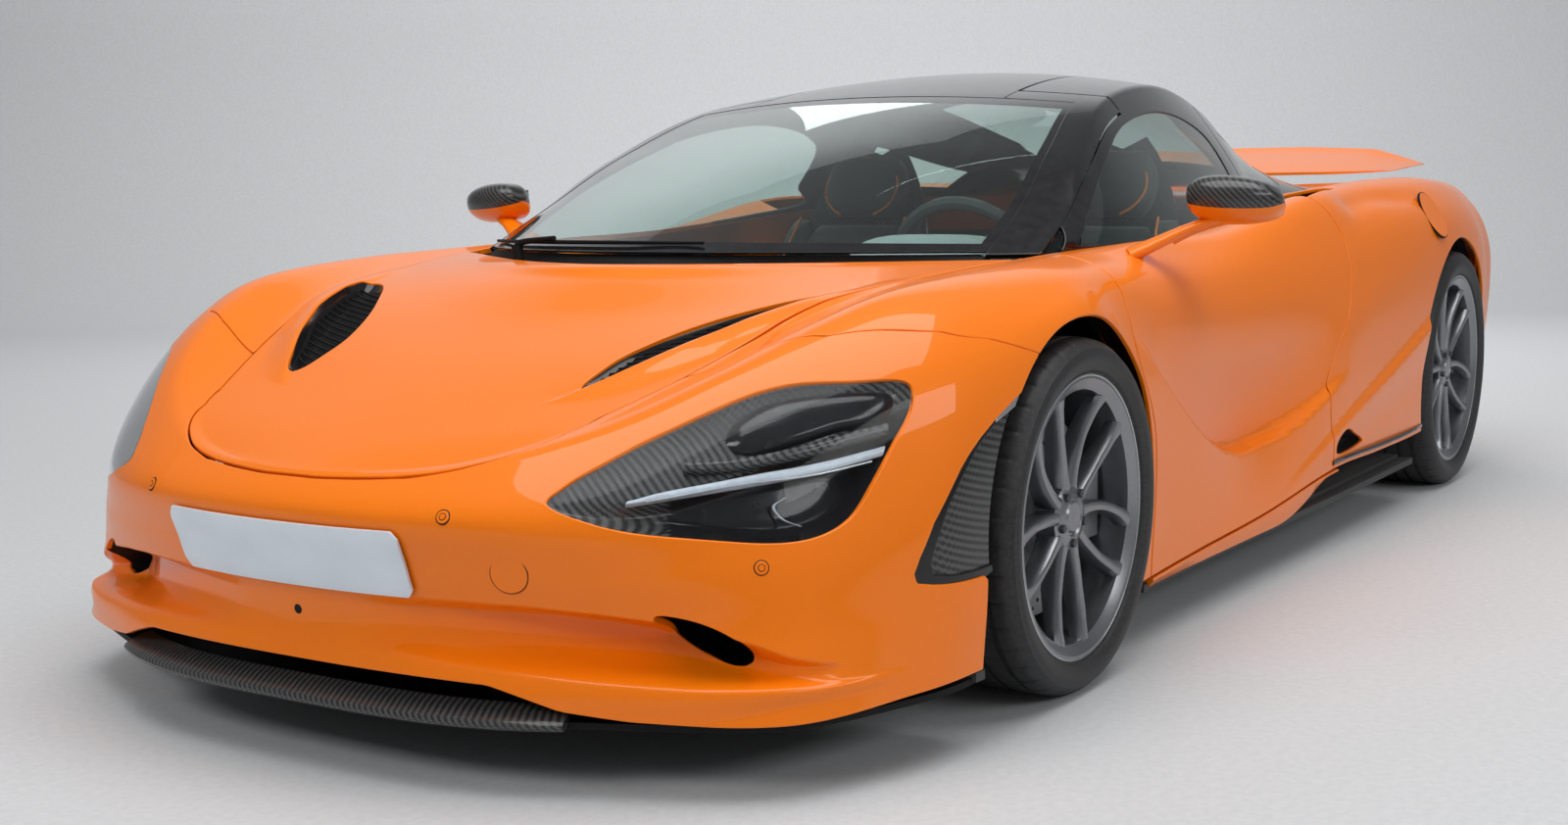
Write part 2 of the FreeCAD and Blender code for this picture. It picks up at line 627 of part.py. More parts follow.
DIFFUSER_START_X = REAR_AXLE_X - 320.0
DIFFUSER_FINS = 6
DIFFUSER_PITCH = 190.0
DIFFUSER_HALF_WIDTH = 600.0
FIN_THICKNESS = 8.0


def make_diffuser():
    x0, x1 = DIFFUSER_START_X, -LENGTH / 2
    low, high = FLOOR_HEIGHT, 300.0
    profile = [Vector(x0, -DIFFUSER_HALF_WIDTH, low), Vector(x1, -DIFFUSER_HALF_WIDTH, high),
               Vector(x1, -DIFFUSER_HALF_WIDTH, high + FLOOR_THICKNESS),
               Vector(x0, -DIFFUSER_HALF_WIDTH, low + FLOOR_THICKNESS)]
    solids = [prism(profile, Vector(0, 2 * DIFFUSER_HALF_WIDTH, 0))]
    for k in range(DIFFUSER_FINS):
        y = (k - (DIFFUSER_FINS - 1) / 2) * DIFFUSER_PITCH - FIN_THICKNESS / 2
        fin = [Vector(x0, y, low), Vector(x1 + 60, y, low + 40), Vector(x1 + 10, y, high)]
        solids.append(prism(fin, Vector(0, FIN_THICKNESS, 0)))
    return fused(solids)


def make_side_sills():
    x0, x1 = FRONT_AXLE_X - FRONT_ARCH_RADIUS - 20, REAR_AXLE_X + REAR_ARCH_RADIUS + 20
    low = FLOOR_HEIGHT + FLOOR_THICKNESS + PART_GAP
    inner = TUB_HALF_WIDTH + 5
    corners = ((inner, low), (905, low), (905, low + 10), (inner + 30, low + 10), (inner + 30, 190), (inner, 190))
    return both_sides(prism([Vector(x1, y, z) for y, z in corners], Vector(x0 - x1, 0, 0)))


# Carbon tub: floor, sills and two bulkheads round the cabin
TUB_FRONT_X = FRONT_AXLE_X - 150.0
TUB_REAR_X = FRONT_AXLE_X - 1740.0
TUB_HALF_WIDTH = 790.0
FOOTWELL_HALF_WIDTH = 500.0
TUB_WALL = 30.0
SILL_TOP = 390.0
SILL_WIDTH = 190.0
BULKHEAD_TOP = 752.0
TUB_LOW = FLOOR_HEIGHT + FLOOR_THICKNESS + PART_GAP
TUB_FLOOR_TOP = TUB_LOW + TUB_WALL
TUB_WIDENS_X = FRONT_AXLE_X - FRONT_ARCH_RADIUS - 20.0


def tub_outline(front_x, narrow, widens_x, wide_x, wide, rear_x, z):
    left = [(front_x, narrow), (widens_x, narrow), (wide_x, wide), (rear_x, wide)]
    return [Vector(x, y, z) for x, y in left] + [Vector(x, -y, z) for x, y in reversed(left)]


def tub_inside():
    """The space inside the tub, from its floor up."""
    inner = tub_outline(TUB_FRONT_X - TUB_WALL, FOOTWELL_HALF_WIDTH - TUB_WALL, TUB_WIDENS_X - 60,
                        TUB_WIDENS_X - 230, TUB_HALF_WIDTH - SILL_WIDTH, TUB_REAR_X + TUB_WALL, TUB_FLOOR_TOP)
    return prism(inner, Vector(0, 0, ROOF_HEIGHT))


def make_tub():
    outer = tub_outline(TUB_FRONT_X, FOOTWELL_HALF_WIDTH, TUB_WIDENS_X, TUB_WIDENS_X - 150,
                        TUB_HALF_WIDTH, TUB_REAR_X, TUB_LOW)
    block = prism(outer, Vector(0, 0, BULKHEAD_TOP - TUB_LOW))
    doorway = box((TUB_REAR_X + TUB_WALL, -HALF_WIDTH, SILL_TOP), (TUB_WIDENS_X - 60, HALF_WIDTH, ROOF_HEIGHT))
    return block.cut(tub_inside()).cut(doorway)


# Canopy: pillars, header, spine and rear arch; then its glass
CANOPY_FOOT = 0.12
SCREEN_TOP = 2.86
SCREEN_COLUMN = 0.9
PILLAR_COLUMN = 1.12
DOOR_ROOF_COLUMN = 0.62
HEADER_ROW = 3.08
DOOR_ROOF_END = 4.75
REAR_WINDOW_ROWS = (5.0, 6.7)
REAR_WINDOW_COLUMN = 0.75
QUARTER_WINDOW_ROWS = (5.0, 6.2)
QUARTER_WINDOW_COLUMNS = (1.22, 1.8)
DOOR_WINDOW_ROWS = (1.2, 4.35)
DOOR_WINDOW_COLUMNS = (1.24, 1.93)
DOOR_FRAME_FOOT = 0.95
FRAME_FOOT_END = 0.9
FRAME_FOOT_COLUMN = 1.5
DOOR_FRAME_BASE = 1.999
GLASS_FIT = 0.002
QUARTER_GLASS_FIT = 0.004
GLASS_INSET = 2.0
FRAME_SHUT = 0.014
FRAME_US = (CANOPY_FOOT, 0.3, 0.6, FRAME_FOOT_END, DOOR_WINDOW_ROWS[0], 1.5, 1.95, 2.4, SCREEN_TOP, HEADER_ROW,
            3.5, 3.95, DOOR_WINDOW_ROWS[1], DOOR_ROOF_END, REAR_WINDOW_ROWS[0], 5.4, 5.8, QUARTER_WINDOW_ROWS[1], REAR_WINDOW_ROWS[1], 7.0)
FRAME_HALF_VS = (0.0, 0.31, DOOR_ROOF_COLUMN, REAR_WINDOW_COLUMN, SCREEN_COLUMN, 1.0, PILLAR_COLUMN,
                 QUARTER_WINDOW_COLUMNS[0], FRAME_FOOT_COLUMN, QUARTER_WINDOW_COLUMNS[1], 2.0)
FRAME_VS = tuple(-v for v in reversed(FRAME_HALF_VS[1:])) + FRAME_HALF_VS
DOOR_US = (DOOR_FRAME_FOOT, DOOR_WINDOW_ROWS[0], 1.5, 1.95, 2.4, SCREEN_TOP, HEADER_ROW + FRAME_SHUT, 3.5, 3.95,
           DOOR_WINDOW_ROWS[1], DOOR_ROOF_END - FRAME_SHUT)
DOOR_WINDOW_VS = (DOOR_WINDOW_COLUMNS[0], 1.5, 1.72, DOOR_WINDOW_COLUMNS[1])


def frame_vs(u):
    return FRAME_VS


def door_vs(u):
    """Columns of the door's frame, clear of the roof and the pillar by the shut gap."""
    roof_edge = DOOR_ROOF_COLUMN + shut_share(canopy, u, DOOR_ROOF_COLUMN)
    pillar_edge = PILLAR_COLUMN + shut_share(canopy, u, PILLAR_COLUMN)
    return (roof_edge, 0.85, 1.0, pillar_edge) + DOOR_WINDOW_VS + (DOOR_FRAME_BASE,)


def within(value, limits):
    return limits[0] < value < limits[1]


def is_roof_frame(u, v):
    v = abs(v)
    if u < SCREEN_TOP and v < SCREEN_COLUMN:
        return False
    if u < HEADER_ROW and v > (FRAME_FOOT_COLUMN if u < FRAME_FOOT_END else PILLAR_COLUMN):
        return False
    if within(u, (HEADER_ROW, DOOR_ROOF_END)) and v > DOOR_ROOF_COLUMN:
        return False
    if within(u, REAR_WINDOW_ROWS) and v < REAR_WINDOW_COLUMN:
        return False
    return not (within(u, QUARTER_WINDOW_ROWS) and within(v, QUARTER_WINDOW_COLUMNS))


POST_HALF_LENGTH = 14.0
POST_INNER_Y = 590.0
POST_OUTER_Y = 620.0
POST_TOP = 880.0


def make_roof_frame():
    """Pillars, header, roof and tail of the canopy, posts down to the tub, and the scuttle under the glass."""
    frame = masked_patch(canopy, FRAME_US, frame_vs, is_roof_frame, FRAME_DEPTH)
    post_x = TUB_REAR_X + TUB_WALL / 2
    post = box((post_x - POST_HALF_LENGTH, POST_INNER_Y, BULKHEAD_TOP + PART_GAP),
               (post_x + POST_HALF_LENGTH, POST_OUTER_Y, POST_TOP))
    return frame.multiFuse([make_scuttle(frame), post, mirrored(post)]).cut(both_sides(door_room()))


def span(values, limits, fit=GLASS_FIT):
    """The grid values between two limits, drawn in by the glass's fit at both ends."""
    inside = [value for value in values if limits[0] <= value <= limits[1]]
    return [inside[0] + fit] + inside[1:-1] + [inside[-1] - fit]


def glass_pane(us, vs):
    outer = [[skin_offset(canopy, u, v, GLASS_INSET) for v in vs] for u in us]
    inner = [[skin_offset(canopy, u, v, GLASS_INSET + GLASS) for v in vs] for u in us]
    return thick_patch(outer, inner)


def make_windscreen():
    return glass_pane(span(FRAME_US, (CANOPY_FOOT, SCREEN_TOP)), span(FRAME_VS, (-SCREEN_COLUMN, SCREEN_COLUMN)))


def make_rear_glass():
    side = glass_pane(span(FRAME_US, QUARTER_WINDOW_ROWS, QUARTER_GLASS_FIT),
                      span(FRAME_VS, QUARTER_WINDOW_COLUMNS, QUARTER_GLASS_FIT))
    back_columns = (-REAR_WINDOW_COLUMN, REAR_WINDOW_COLUMN)
    back = glass_pane(span(FRAME_US, REAR_WINDOW_ROWS), span(FRAME_VS, back_columns))
    return Part.makeCompound([back, side, mirrored(side)])


def is_door_frame(u, v):
    if u < HEADER_ROW + FRAME_SHUT and v < door_vs(u)[3]:
        return False
    return not (within(u, DOOR_WINDOW_ROWS) and within(v, DOOR_WINDOW_COLUMNS))


def make_door_frame():
    """The door's window frame with its piece of roof, standing on the door."""
    return masked_patch(canopy, DOOR_US, door_vs, is_door_frame, FRAME_DEPTH)


def make_door_glass():
    return glass_pane(span(DOOR_US, DOOR_WINDOW_ROWS), span(DOOR_WINDOW_VS, DOOR_WINDOW_COLUMNS))


def make_scuttle(frame):
    """The panel between bonnet and windscreen, running on under the glass."""
    panel = body_patch((6.88, 7.5), (-0.93, 0.93), (5, 9), 16.0, -7.0)
    return panel.cut(frame)


def ring(centre, across, up, half_width, half_height, count=10, power=0.7):
    """A rounded oblong of points in the plane of across and up."""
    points = []
    for k in range(count):
        a = 2 * math.pi * (k + 0.5) / count
        c, s = math.cos(a), math.sin(a)
        points.append(centre + across * (half_width * math.copysign(abs(c) ** power, c))
                      + up * (half_height * math.copysign(abs(s) ** power, s)))
    return points


# Door mirror: a stalk from the door's shoulder and a housing
MIRROR_X = FRONT_AXLE_X - 640.0
MIRROR_Z = 876.0
MIRROR_INNER_Y = 905.0
MIRROR_OUTER_Y = 1080.0


def make_mirror(door):
    X, Z = Vector(1, 0, 0), Vector(0, 0, 1)
    table = ((0.0, 50, 36, 4), (0.12, 62, 52, 2), (0.5, 66, 56, 0), (0.85, 52, 40, -8), (1.0, 22, 14, -14))
    rings = []
    for share, half_x, half_z, shift in table:
        y = MIRROR_INNER_Y + (MIRROR_OUTER_Y - MIRROR_INNER_Y) * share
        rings.append(ring(Vector(MIRROR_X + shift, y, MIRROR_Z), X, Z, half_x, half_z))
    housing = skinned(rings)
    foot = Vector(MIRROR_X + 25, 815, 768)
    neck = Vector(MIRROR_X + 5, 955, MIRROR_Z - 46)
    across = Vector(1, 0, 0)
    up = (neck - foot).cross(across).normalize()
    stalk = skinned([ring(foot, across, up, 42, 13, 8), ring(neck, across, up, 26, 12, 8)])
    return housing.fuse(stalk).cut(door).cut(door.translated(Vector(0, 0, PART_GAP)))


# Rear wing: its blade across the tail, and its hinge
WING_HALF_SPAN = 700.0
WING_HINGE_X = REAR_AXLE_X - 135.0
WING_HINGE_Z = 888.0 * BELT_HEIGHT / TABLE_BELT
WING_TABLE = (
    # share of half span, x of front edge and rear edge behind the rear axle, z of front, middle and rear, thickness
    (0.0, -120, -640, 923, 963, 993, 34),
    (0.4, -125, -640, 923, 963, 993, 34),
    (0.75, -150, -625, 924, 958, 984, 30),
    (1.0, -210, -560, 926, 936, 944, 14),
)
WING_POST_Y = 330.0
WING_POST_HALF = 9.0
WING_LUG_HALF = 12.0
WING_PIN_RADIUS = 6.0


def wing_section(share, x_front, x_rear, z_front, z_mid, z_rear, thickness, side):
    y = WING_HALF_SPAN * share * side
    points = []
    for along, z in ((0.0, z_front), (0.5, z_mid), (1.0, z_rear)):
        points.append(Vector(REAR_AXLE_X + x_front + (x_rear - x_front) * along, y, z * BELT_HEIGHT / TABLE_BELT))
    under = [p - Vector(0, 0, thickness * t) for p, t in zip(reversed(points), (0.5, 1.0, 0.6))]
    return points + under


def wing_pin(radius):
    """The hinge pin on the left post, reaching towards the middle through the wing's lug."""
    return cylinder_y(radius, WING_HINGE_X, WING_HINGE_Z, WING_POST_Y - 42, WING_POST_Y)


def make_rear_wing():
    right = [wing_section(*row, -1) for row in reversed(WING_TABLE[1:])]
    left = [wing_section(*row, 1) for row in WING_TABLE]
    y = WING_POST_Y - WING_POST_HALF - MOVING_GAP
    lug = box((WING_HINGE_X - WING_LUG_HALF, y - 22, WING_HINGE_Z - 10),
              (WING_HINGE_X + WING_LUG_HALF, y, WING_HINGE_Z + 26))
    blade = skinned(right + left).multiFuse([lug, mirrored(lug)])
    hole = wing_pin(WING_PIN_RADIUS + RUNNING_FIT)
    return blade.cut(hole).cut(mirrored(hole))


def make_rear_deck(bumper, quarters):
    us = spread(ROW_DECK_FRONT, ROW_LAST - LID_END_MARGIN, 8)
    deck = masked_patch(body, us, lid_columns, lambda u, v: True, SKIN)
    for neighbour in (bumper, bumper.translated(Vector(PART_GAP, 0, 0)), quarters):
        deck = deck.cut(neighbour)
    post = box((WING_HINGE_X - WING_POST_HALF, WING_POST_Y - WING_POST_HALF, WING_HINGE_Z - 36),
               (WING_HINGE_X + WING_POST_HALF, WING_POST_Y + WING_POST_HALF, WING_HINGE_Z + 7))
    pin = wing_pin(WING_PIN_RADIUS)
    return deck.multiFuse([post, mirrored(post), pin, mirrored(pin)])


# Wheels; offsets in y run outwards from a wheel's middle plane
BEAD_SEAT = 16.0
BEAD_SIDE = 20.0
FLANGE_WALL = 7.0
FACE_INSET = 18.0
HUB_LENGTH = 42.0
SPOKE_SET_BACK = 34.0
BELL_LENGTH = 22.0
SPINDLE_RADIUS = 28.0


def turned(profile, x, y, z, side):
    """A profile of (radius, offset) turned about a wheel's axis."""
    points = [Vector(x + r, y + side * offset, z) for r, offset in profile]
    return Part.Face(Part.makePolygon(points + [points[0]])).revolve(Vector(x, y, z), Vector(0, 1, 0), 360)


TYRE_FACETS = 60
GRIP_FACETS = 36


def faceted_ring(profile, x, y, z, side, count):
    """A closed ring of flat faces round a wheel's axis; the faces touch the profile's radius."""
    reach = 1 / math.cos(math.pi / count)
    sections = []
    for k in range(count):
        angle = 2 * math.pi * (k + 0.5) / count
        c, s = reach * math.cos(angle), reach * math.sin(angle)
        sections.append([Vector(x + r * c, y + side * offset, z + r * s) for r, offset in profile])
    faces = []
    for k in range(count):
        low, high = sections[k - 1], sections[k]
        for j in range(len(profile)):
            faces += facets(low[j - 1], low[j], high[j], high[j - 1])
    return closed_solid(faces)


def make_tyre(x, y, radius, width, rim, side):
    half = width / 2
    left = ((rim - BEAD_SEAT + BEAD_FIT, half - BEAD_SIDE), (rim + 3, half - BEAD_SIDE), (rim + 22, half),
            (radius - 20, half - 3), (radius, half - 24))
    profile = [(r, -offset) for r, offset in left] + [(r, offset) for r, offset in reversed(left)]
    return faceted_ring(profile, x, y, radius, side, TYRE_FACETS)


def hub_start(width):
    """Offset of the wheel hub's inner face."""
    return width / 2 - FACE_INSET - 20 - HUB_LENGTH


def make_rim(x, y, radius, width, rim, side):
    """A barrel with flanges, a hub and pairs of swept spokes."""
    inner, outer = -width / 2 + BEAD_SIDE - BEAD_FIT, width / 2 - BEAD_SIDE + BEAD_FIT
    seat = rim - BEAD_SEAT
    barrel = turned(((rim, inner - FLANGE_WALL), (rim, inner), (seat, inner), (seat, outer), (rim, outer),
                     (rim, outer + FLANGE_WALL), (rim - 9, outer + FLANGE_WALL), (seat - RIM_WALL, outer - 8),
                     (seat - RIM_WALL, inner - 4), (rim - 12, inner - FLANGE_WALL)), x, y, radius, side)
    low = hub_start(width)
    hub = turned(((0, low + BELL_LENGTH), (0, low + HUB_LENGTH), (HUB_RADIUS - 6, low + HUB_LENGTH),
                  (HUB_RADIUS, low + HUB_LENGTH - 6), (HUB_RADIUS, low), (SPINDLE_RADIUS + 6, low),
                  (SPINDLE_RADIUS + 6, low + BELL_LENGTH)), x, y, radius, side)
    face = width / 2 - FACE_INSET
    reach = seat - RIM_WALL + 3
    start_radius = HUB_RADIUS - 14
    spokes = []
    for k in range(SPOKE_PAIRS * 2):
        pair, lean = divmod(k, 2)
        start = 2 * math.pi * (pair + (0.22 if lean else -0.22)) / SPOKE_PAIRS + math.pi / 2
        sweep = math.radians(SPOKE_SWEEP_DEG) * (0.5 if lean else -0.2)
        rings = []
        for share, back in ((0.0, SPOKE_SET_BACK), (0.35, SPOKE_SET_BACK), (0.7, 22), (1.0, 8)):
            r = start_radius + (reach - start_radius) * share
            angle = start + sweep * share
            across = Vector(-math.sin(angle), 0, math.cos(angle))
            centre = Vector(x + r * math.cos(angle), y + side * (face - back), radius + r * math.sin(angle))
            half_width = SPOKE_WIDTH / 2 * (1.3 - 0.4 * share)
            rings.append(ring(centre, across, Vector(0, side, 0), half_width, SPOKE_DEPTH / 2, 6, 0.8))
        spokes.append(skinned(rings))
    return barrel.multiFuse([hub] + spokes)


def make_disc(x, y, radius, width, disc_radius, side):
    """A brake disc and its bell, bored for the spindle, against the wheel hub's inner face."""
    end = hub_start(width) - PART_GAP
    face = end - BELL_LENGTH
    bore = SPINDLE_RADIUS + RUNNING_FIT
    profile = ((bore, face - DISC_THICKNESS), (bore, end), (HUB_RADIUS + 18, end), (HUB_RADIUS + 18, face),
               (disc_radius, face), (disc_radius, face - DISC_THICKNESS))
    return turned(profile, x, y, radius, side)


CALIPER_NEAR = 118.0
CALIPER_FAR = 212.0
CALIPER_HALF_HEIGHT = 72.0
CALIPER_WALL = 24.0
CARRIER_RADIUS = 50.0
CARRIER_END = -110.0
KNUCKLE_REACH = 115.0
EYE_RADIUS = 24.0
PIN_RADIUS = 12.0
PIN_DEPTH = 40.0


def make_knuckle(x, y, radius, width, disc_radius, side, bored):
    """Hub carrier with spindle, upright eyes and brake caliper."""
    disc_out = hub_start(width) - PART_GAP - BELL_LENGTH
    disc_in = disc_out - DISC_THICKNESS
    carrier = turned(((0, CARRIER_END), (0, disc_in - MOVING_GAP), (CARRIER_RADIUS, disc_in - MOVING_GAP),
                      (CARRIER_RADIUS, CARRIER_END)), x, y, radius, side)
    spindle = turned(((0, disc_in - MOVING_GAP - 1), (0, hub_start(width) + BELL_LENGTH - 6),
                      (SPINDLE_RADIUS, hub_start(width) + BELL_LENGTH - 6),
                      (SPINDLE_RADIUS, disc_in - MOVING_GAP - 1)), x, y, radius, side)
    pin_y = y - side * KINGPIN_INSET
    low, high = radius - KNUCKLE_REACH, radius + KNUCKLE_REACH
    eyes = Part.makeCylinder(EYE_RADIUS, high - low, Vector(x, pin_y, low))
    wall_in, wall_out = disc_in - MOVING_GAP - CALIPER_WALL, disc_out + MOVING_GAP + CALIPER_WALL - 6
    y_low, y_high = sorted((y + side * wall_in, y + side * wall_out))
    caliper = box((x - CALIPER_FAR, y_low, radius - CALIPER_HALF_HEIGHT),
                  (x - CALIPER_NEAR, y_high, radius + CALIPER_HALF_HEIGHT))
    slot = turned(((0, disc_in - MOVING_GAP), (0, disc_out + MOVING_GAP), (disc_radius + MOVING_GAP, disc_out + MOVING_GAP),
                   (disc_radius + MOVING_GAP, disc_in - MOVING_GAP)), x, y, radius, side)
    b_low, b_high = sorted((y + side * wall_in, y + side * (disc_in - MOVING_GAP)))
    bracket = box((x - CALIPER_NEAR - 10, b_low, radius - 30), (x - CARRIER_RADIUS + 12, b_high, radius + 30))
    knuckle = carrier.multiFuse([spindle, eyes, caliper.cut(slot), bracket])
    if bored:
        for z, up in ((low, 1), (high, -1)):
            knuckle = knuckle.cut(Part.makeCylinder(PIN_RADIUS + RUNNING_FIT, PIN_DEPTH + 5, Vector(x, pin_y, z),
                                                    Vector(0, 0, up)))
    return knuckle


ARM_THICKNESS = 18.0
ARM_BASE_Y = 430.0
ARM_HALF_BASE = 130.0
TOWER_WIDTH = 85.0
BEAM_HEIGHT = 90.0


def wheel_arms(x, y, radius, side):
    """Upper and lower wishbones with the pins that the upright turns on."""
    pin_y = y - side * KINGPIN_INSET
    solids = []
    for up in (1, -1):
        near = radius + up * (KNUCKLE_REACH + MOVING_GAP)
        low = min(near, near + up * ARM_THICKNESS)
        outline = [Vector(x - ARM_HALF_BASE, side * ARM_BASE_Y, low), Vector(x + ARM_HALF_BASE, side * ARM_BASE_Y, low),
                   Vector(x + ARM_HALF_BASE - 40, side * ARM_BASE_Y, low), Vector(x + EYE_RADIUS, pin_y, low),
                   Vector(x, pin_y + side * EYE_RADIUS, low), Vector(x - EYE_RADIUS, pin_y, low)]
        arm = prism([outline[0], outline[1], outline[3], outline[4], outline[5]], Vector(0, 0, ARM_THICKNESS))
        opening = [Vector(x - ARM_HALF_BASE + 45, side * (ARM_BASE_Y - 1), low), Vector(x + ARM_HALF_BASE - 45, side * (ARM_BASE_Y - 1), low),
                   Vector(x, pin_y - side * 90, low)]
        arm = arm.cut(prism(opening, Vector(0, 0, ARM_THICKNESS)))
        pin = Part.makeCylinder(PIN_RADIUS, PIN_DEPTH + ARM_THICKNESS, Vector(x, pin_y, near + up * ARM_THICKNESS),
                                Vector(0, 0, -up))
        solids += [arm, pin]
    return solids


def make_suspension(x, y, radius, beam_low_x, beam_high_x):
    """Subframe beam, side towers and wishbones of one axle."""
    top = radius + KNUCKLE_REACH + MOVING_GAP + ARM_THICKNESS + 20
    solids = [box((beam_low_x, -ARM_BASE_Y + TOWER_WIDTH + 1, TUB_LOW), (beam_high_x, ARM_BASE_Y - TOWER_WIDTH - 1, TUB_LOW + BEAM_HEIGHT))]
    for side in (1, -1):
        low, high = sorted((side * (ARM_BASE_Y - TOWER_WIDTH), side * (ARM_BASE_Y + 1)))
        solids.append(box((x - ARM_HALF_BASE - 15, low, TUB_LOW), (x + ARM_HALF_BASE + 15, high, top)))
        solids.append(box((x - 60, min(low, side * 300), TUB_LOW), (x + 60, max(high, side * 300), TUB_LOW + BEAM_HEIGHT)))
        solids += wheel_arms(x, side * y, radius, side)
    return fused(solids)


def make_front_suspension():
    return make_suspension(FRONT_AXLE_X, FRONT_TRACK / 2, FRONT_TYRE_RADIUS, TUB_FRONT_X + 5, FRONT_AXLE_X + 420)


def make_rear_suspension():
    return make_suspension(REAR_AXLE_X, REAR_TRACK / 2, REAR_TYRE_RADIUS, DIFFUSER_START_X + 10, REAR_AXLE_X + 260)


# Engine, one plain block with its gearbox
ENGINE_FRONT_X = TUB_REAR_X - 45.0
ENGINE_REAR_X = REAR_AXLE_X + 300.0
ENGINE_LOW = TUB_LOW + BEAM_HEIGHT + PART_GAP
ENGINE_TOP = 700.0
ENGINE_HALF_WIDTH = 330.0


def make_engine():
    block = box((ENGINE_REAR_X, -ENGINE_HALF_WIDTH, ENGINE_LOW), (ENGINE_FRONT_X, ENGINE_HALF_WIDTH, ENGINE_TOP))
    cover = box((ENGINE_REAR_X + 40, -180, ENGINE_TOP), (ENGINE_FRONT_X - 60, 180, ENGINE_TOP + 60))
    gearbox = box((REAR_AXLE_X - 200, -170, ENGINE_LOW), (ENGINE_REAR_X, 170, 480))
    return fused([block, cover, gearbox])


# Luggage tub under the bonnet, with its surround
LUGGAGE_LOW = 330.0
LUGGAGE_FRONT = 620.0
LUGGAGE_REAR = 60.0
LUGGAGE_HALF_WIDTH = ARM_BASE_Y - TOWER_WIDTH - PART_GAP
LUGGAGE_WALL = 8.0
TRAY_DEPTH = 42.0


def make_luggage_tub():
    tray = body_patch((0.8, 6.2), (-0.86, 0.86), (9, 9), TRAY_DEPTH + 6, -TRAY_DEPTH)
    x0, x1 = FRONT_AXLE_X + LUGGAGE_REAR, FRONT_AXLE_X + LUGGAGE_FRONT
    outline = [Vector(x0, 0, LUGGAGE_LOW), Vector(x1, 0, LUGGAGE_LOW), Vector(x1, 0, 575), Vector(x0, 0, 722)]
    half = Vector(0, LUGGAGE_HALF_WIDTH, 0)
    outer = prism([p - half for p in outline], half * 2)
    w = LUGGAGE_WALL
    inner = box((x0 + w, -LUGGAGE_HALF_WIDTH + w, LUGGAGE_LOW + w), (x1 - w, LUGGAGE_HALF_WIDTH - w, 1000))
    above = body_patch((0.5, 6.9), (-0.95, 0.95), (9, 9), TRAY_DEPTH + 3, 400)
    return outer.cut(above).fuse(tray).cut(inner)


# Seats, dashboard and steering wheel
SEAT_Y = 360.0
SEAT_WIDTH = 450.0
SEAT_SHOULDER_Z = 800.0
SEAT_HEAD_HALF_WIDTH = 150.0
SEAT_PROFILE = ((-790, 159), (-775, 330), (-800, 352), (-1200, 268), (-1290, 330), (-1490, 830), (-1550, 1005),
                (-1590, 1012), (-1618, 985), (-1560, 790), (-1400, 330), (-1330, 159))


def make_seats():
    seats = []
    for side in (1, -1):
        y = side * SEAT_Y - SEAT_WIDTH / 2
        profile = [Vector(FRONT_AXLE_X + x, y, z) for x, z in SEAT_PROFILE]
        seat = prism(profile, Vector(0, SEAT_WIDTH, 0))
        hollow = [Vector(FRONT_AXLE_X + x, y + 70, z) for x, z in
                  ((-760, 400), (-805, 335), (-1190, 252), (-1310, 335), (-1480, 760), (-1300, 900))]
        shoulder = box((-LENGTH, 0, SEAT_SHOULDER_Z), (LENGTH, HALF_WIDTH, ROOF_HEIGHT))
        beside = shoulder.cut(box((-LENGTH, SEAT_Y - SEAT_HEAD_HALF_WIDTH, 0), (LENGTH, SEAT_Y + SEAT_HEAD_HALF_WIDTH, ROOF_HEIGHT)))
        seat = seat.cut(prism(hollow, Vector(0, SEAT_WIDTH - 140, 0)))
        seats.append(seat.cut(beside if side > 0 else mirrored(beside)))
    return Part.makeCompound(seats)


DASH_PROFILE = ((-190, 560), (-190, 742), (-330, 752), (-520, 722), (-600, 650), (-575, 560), (-430, 520))
CONSOLE_HALF_WIDTH = 88.0
CONSOLE_PROFILE = ((-420, 159), (-420, 540), (-560, 560), (-640, 545), (-760, 400), (-1500, 385), (-1690, 420), (-1690, 159))


def side_prism(profile, half_width):
    points = [Vector(FRONT_AXLE_X + x, -half_width, z) for x, z in profile]
    return prism(points, Vector(0, 2 * half_width, 0))


def make_dashboard():
    """Dashboard and centre console in one, with the steering column's hole."""
    wide = side_prism(DASH_PROFILE, TUB_HALF_WIDTH - SILL_WIDTH - 2)
    return wide.fuse(side_prism(CONSOLE_PROFILE, CONSOLE_HALF_WIDTH)).common(tub_inside()).cut(column_hole())


WHEEL_X = FRONT_AXLE_X - 690.0
WHEEL_Z = 712.0
WHEEL_RADIUS = 178.0
WHEEL_GRIP = 15.0
COLUMN_TILT_DEG = 22.0
COLUMN_RADIUS = 26.0


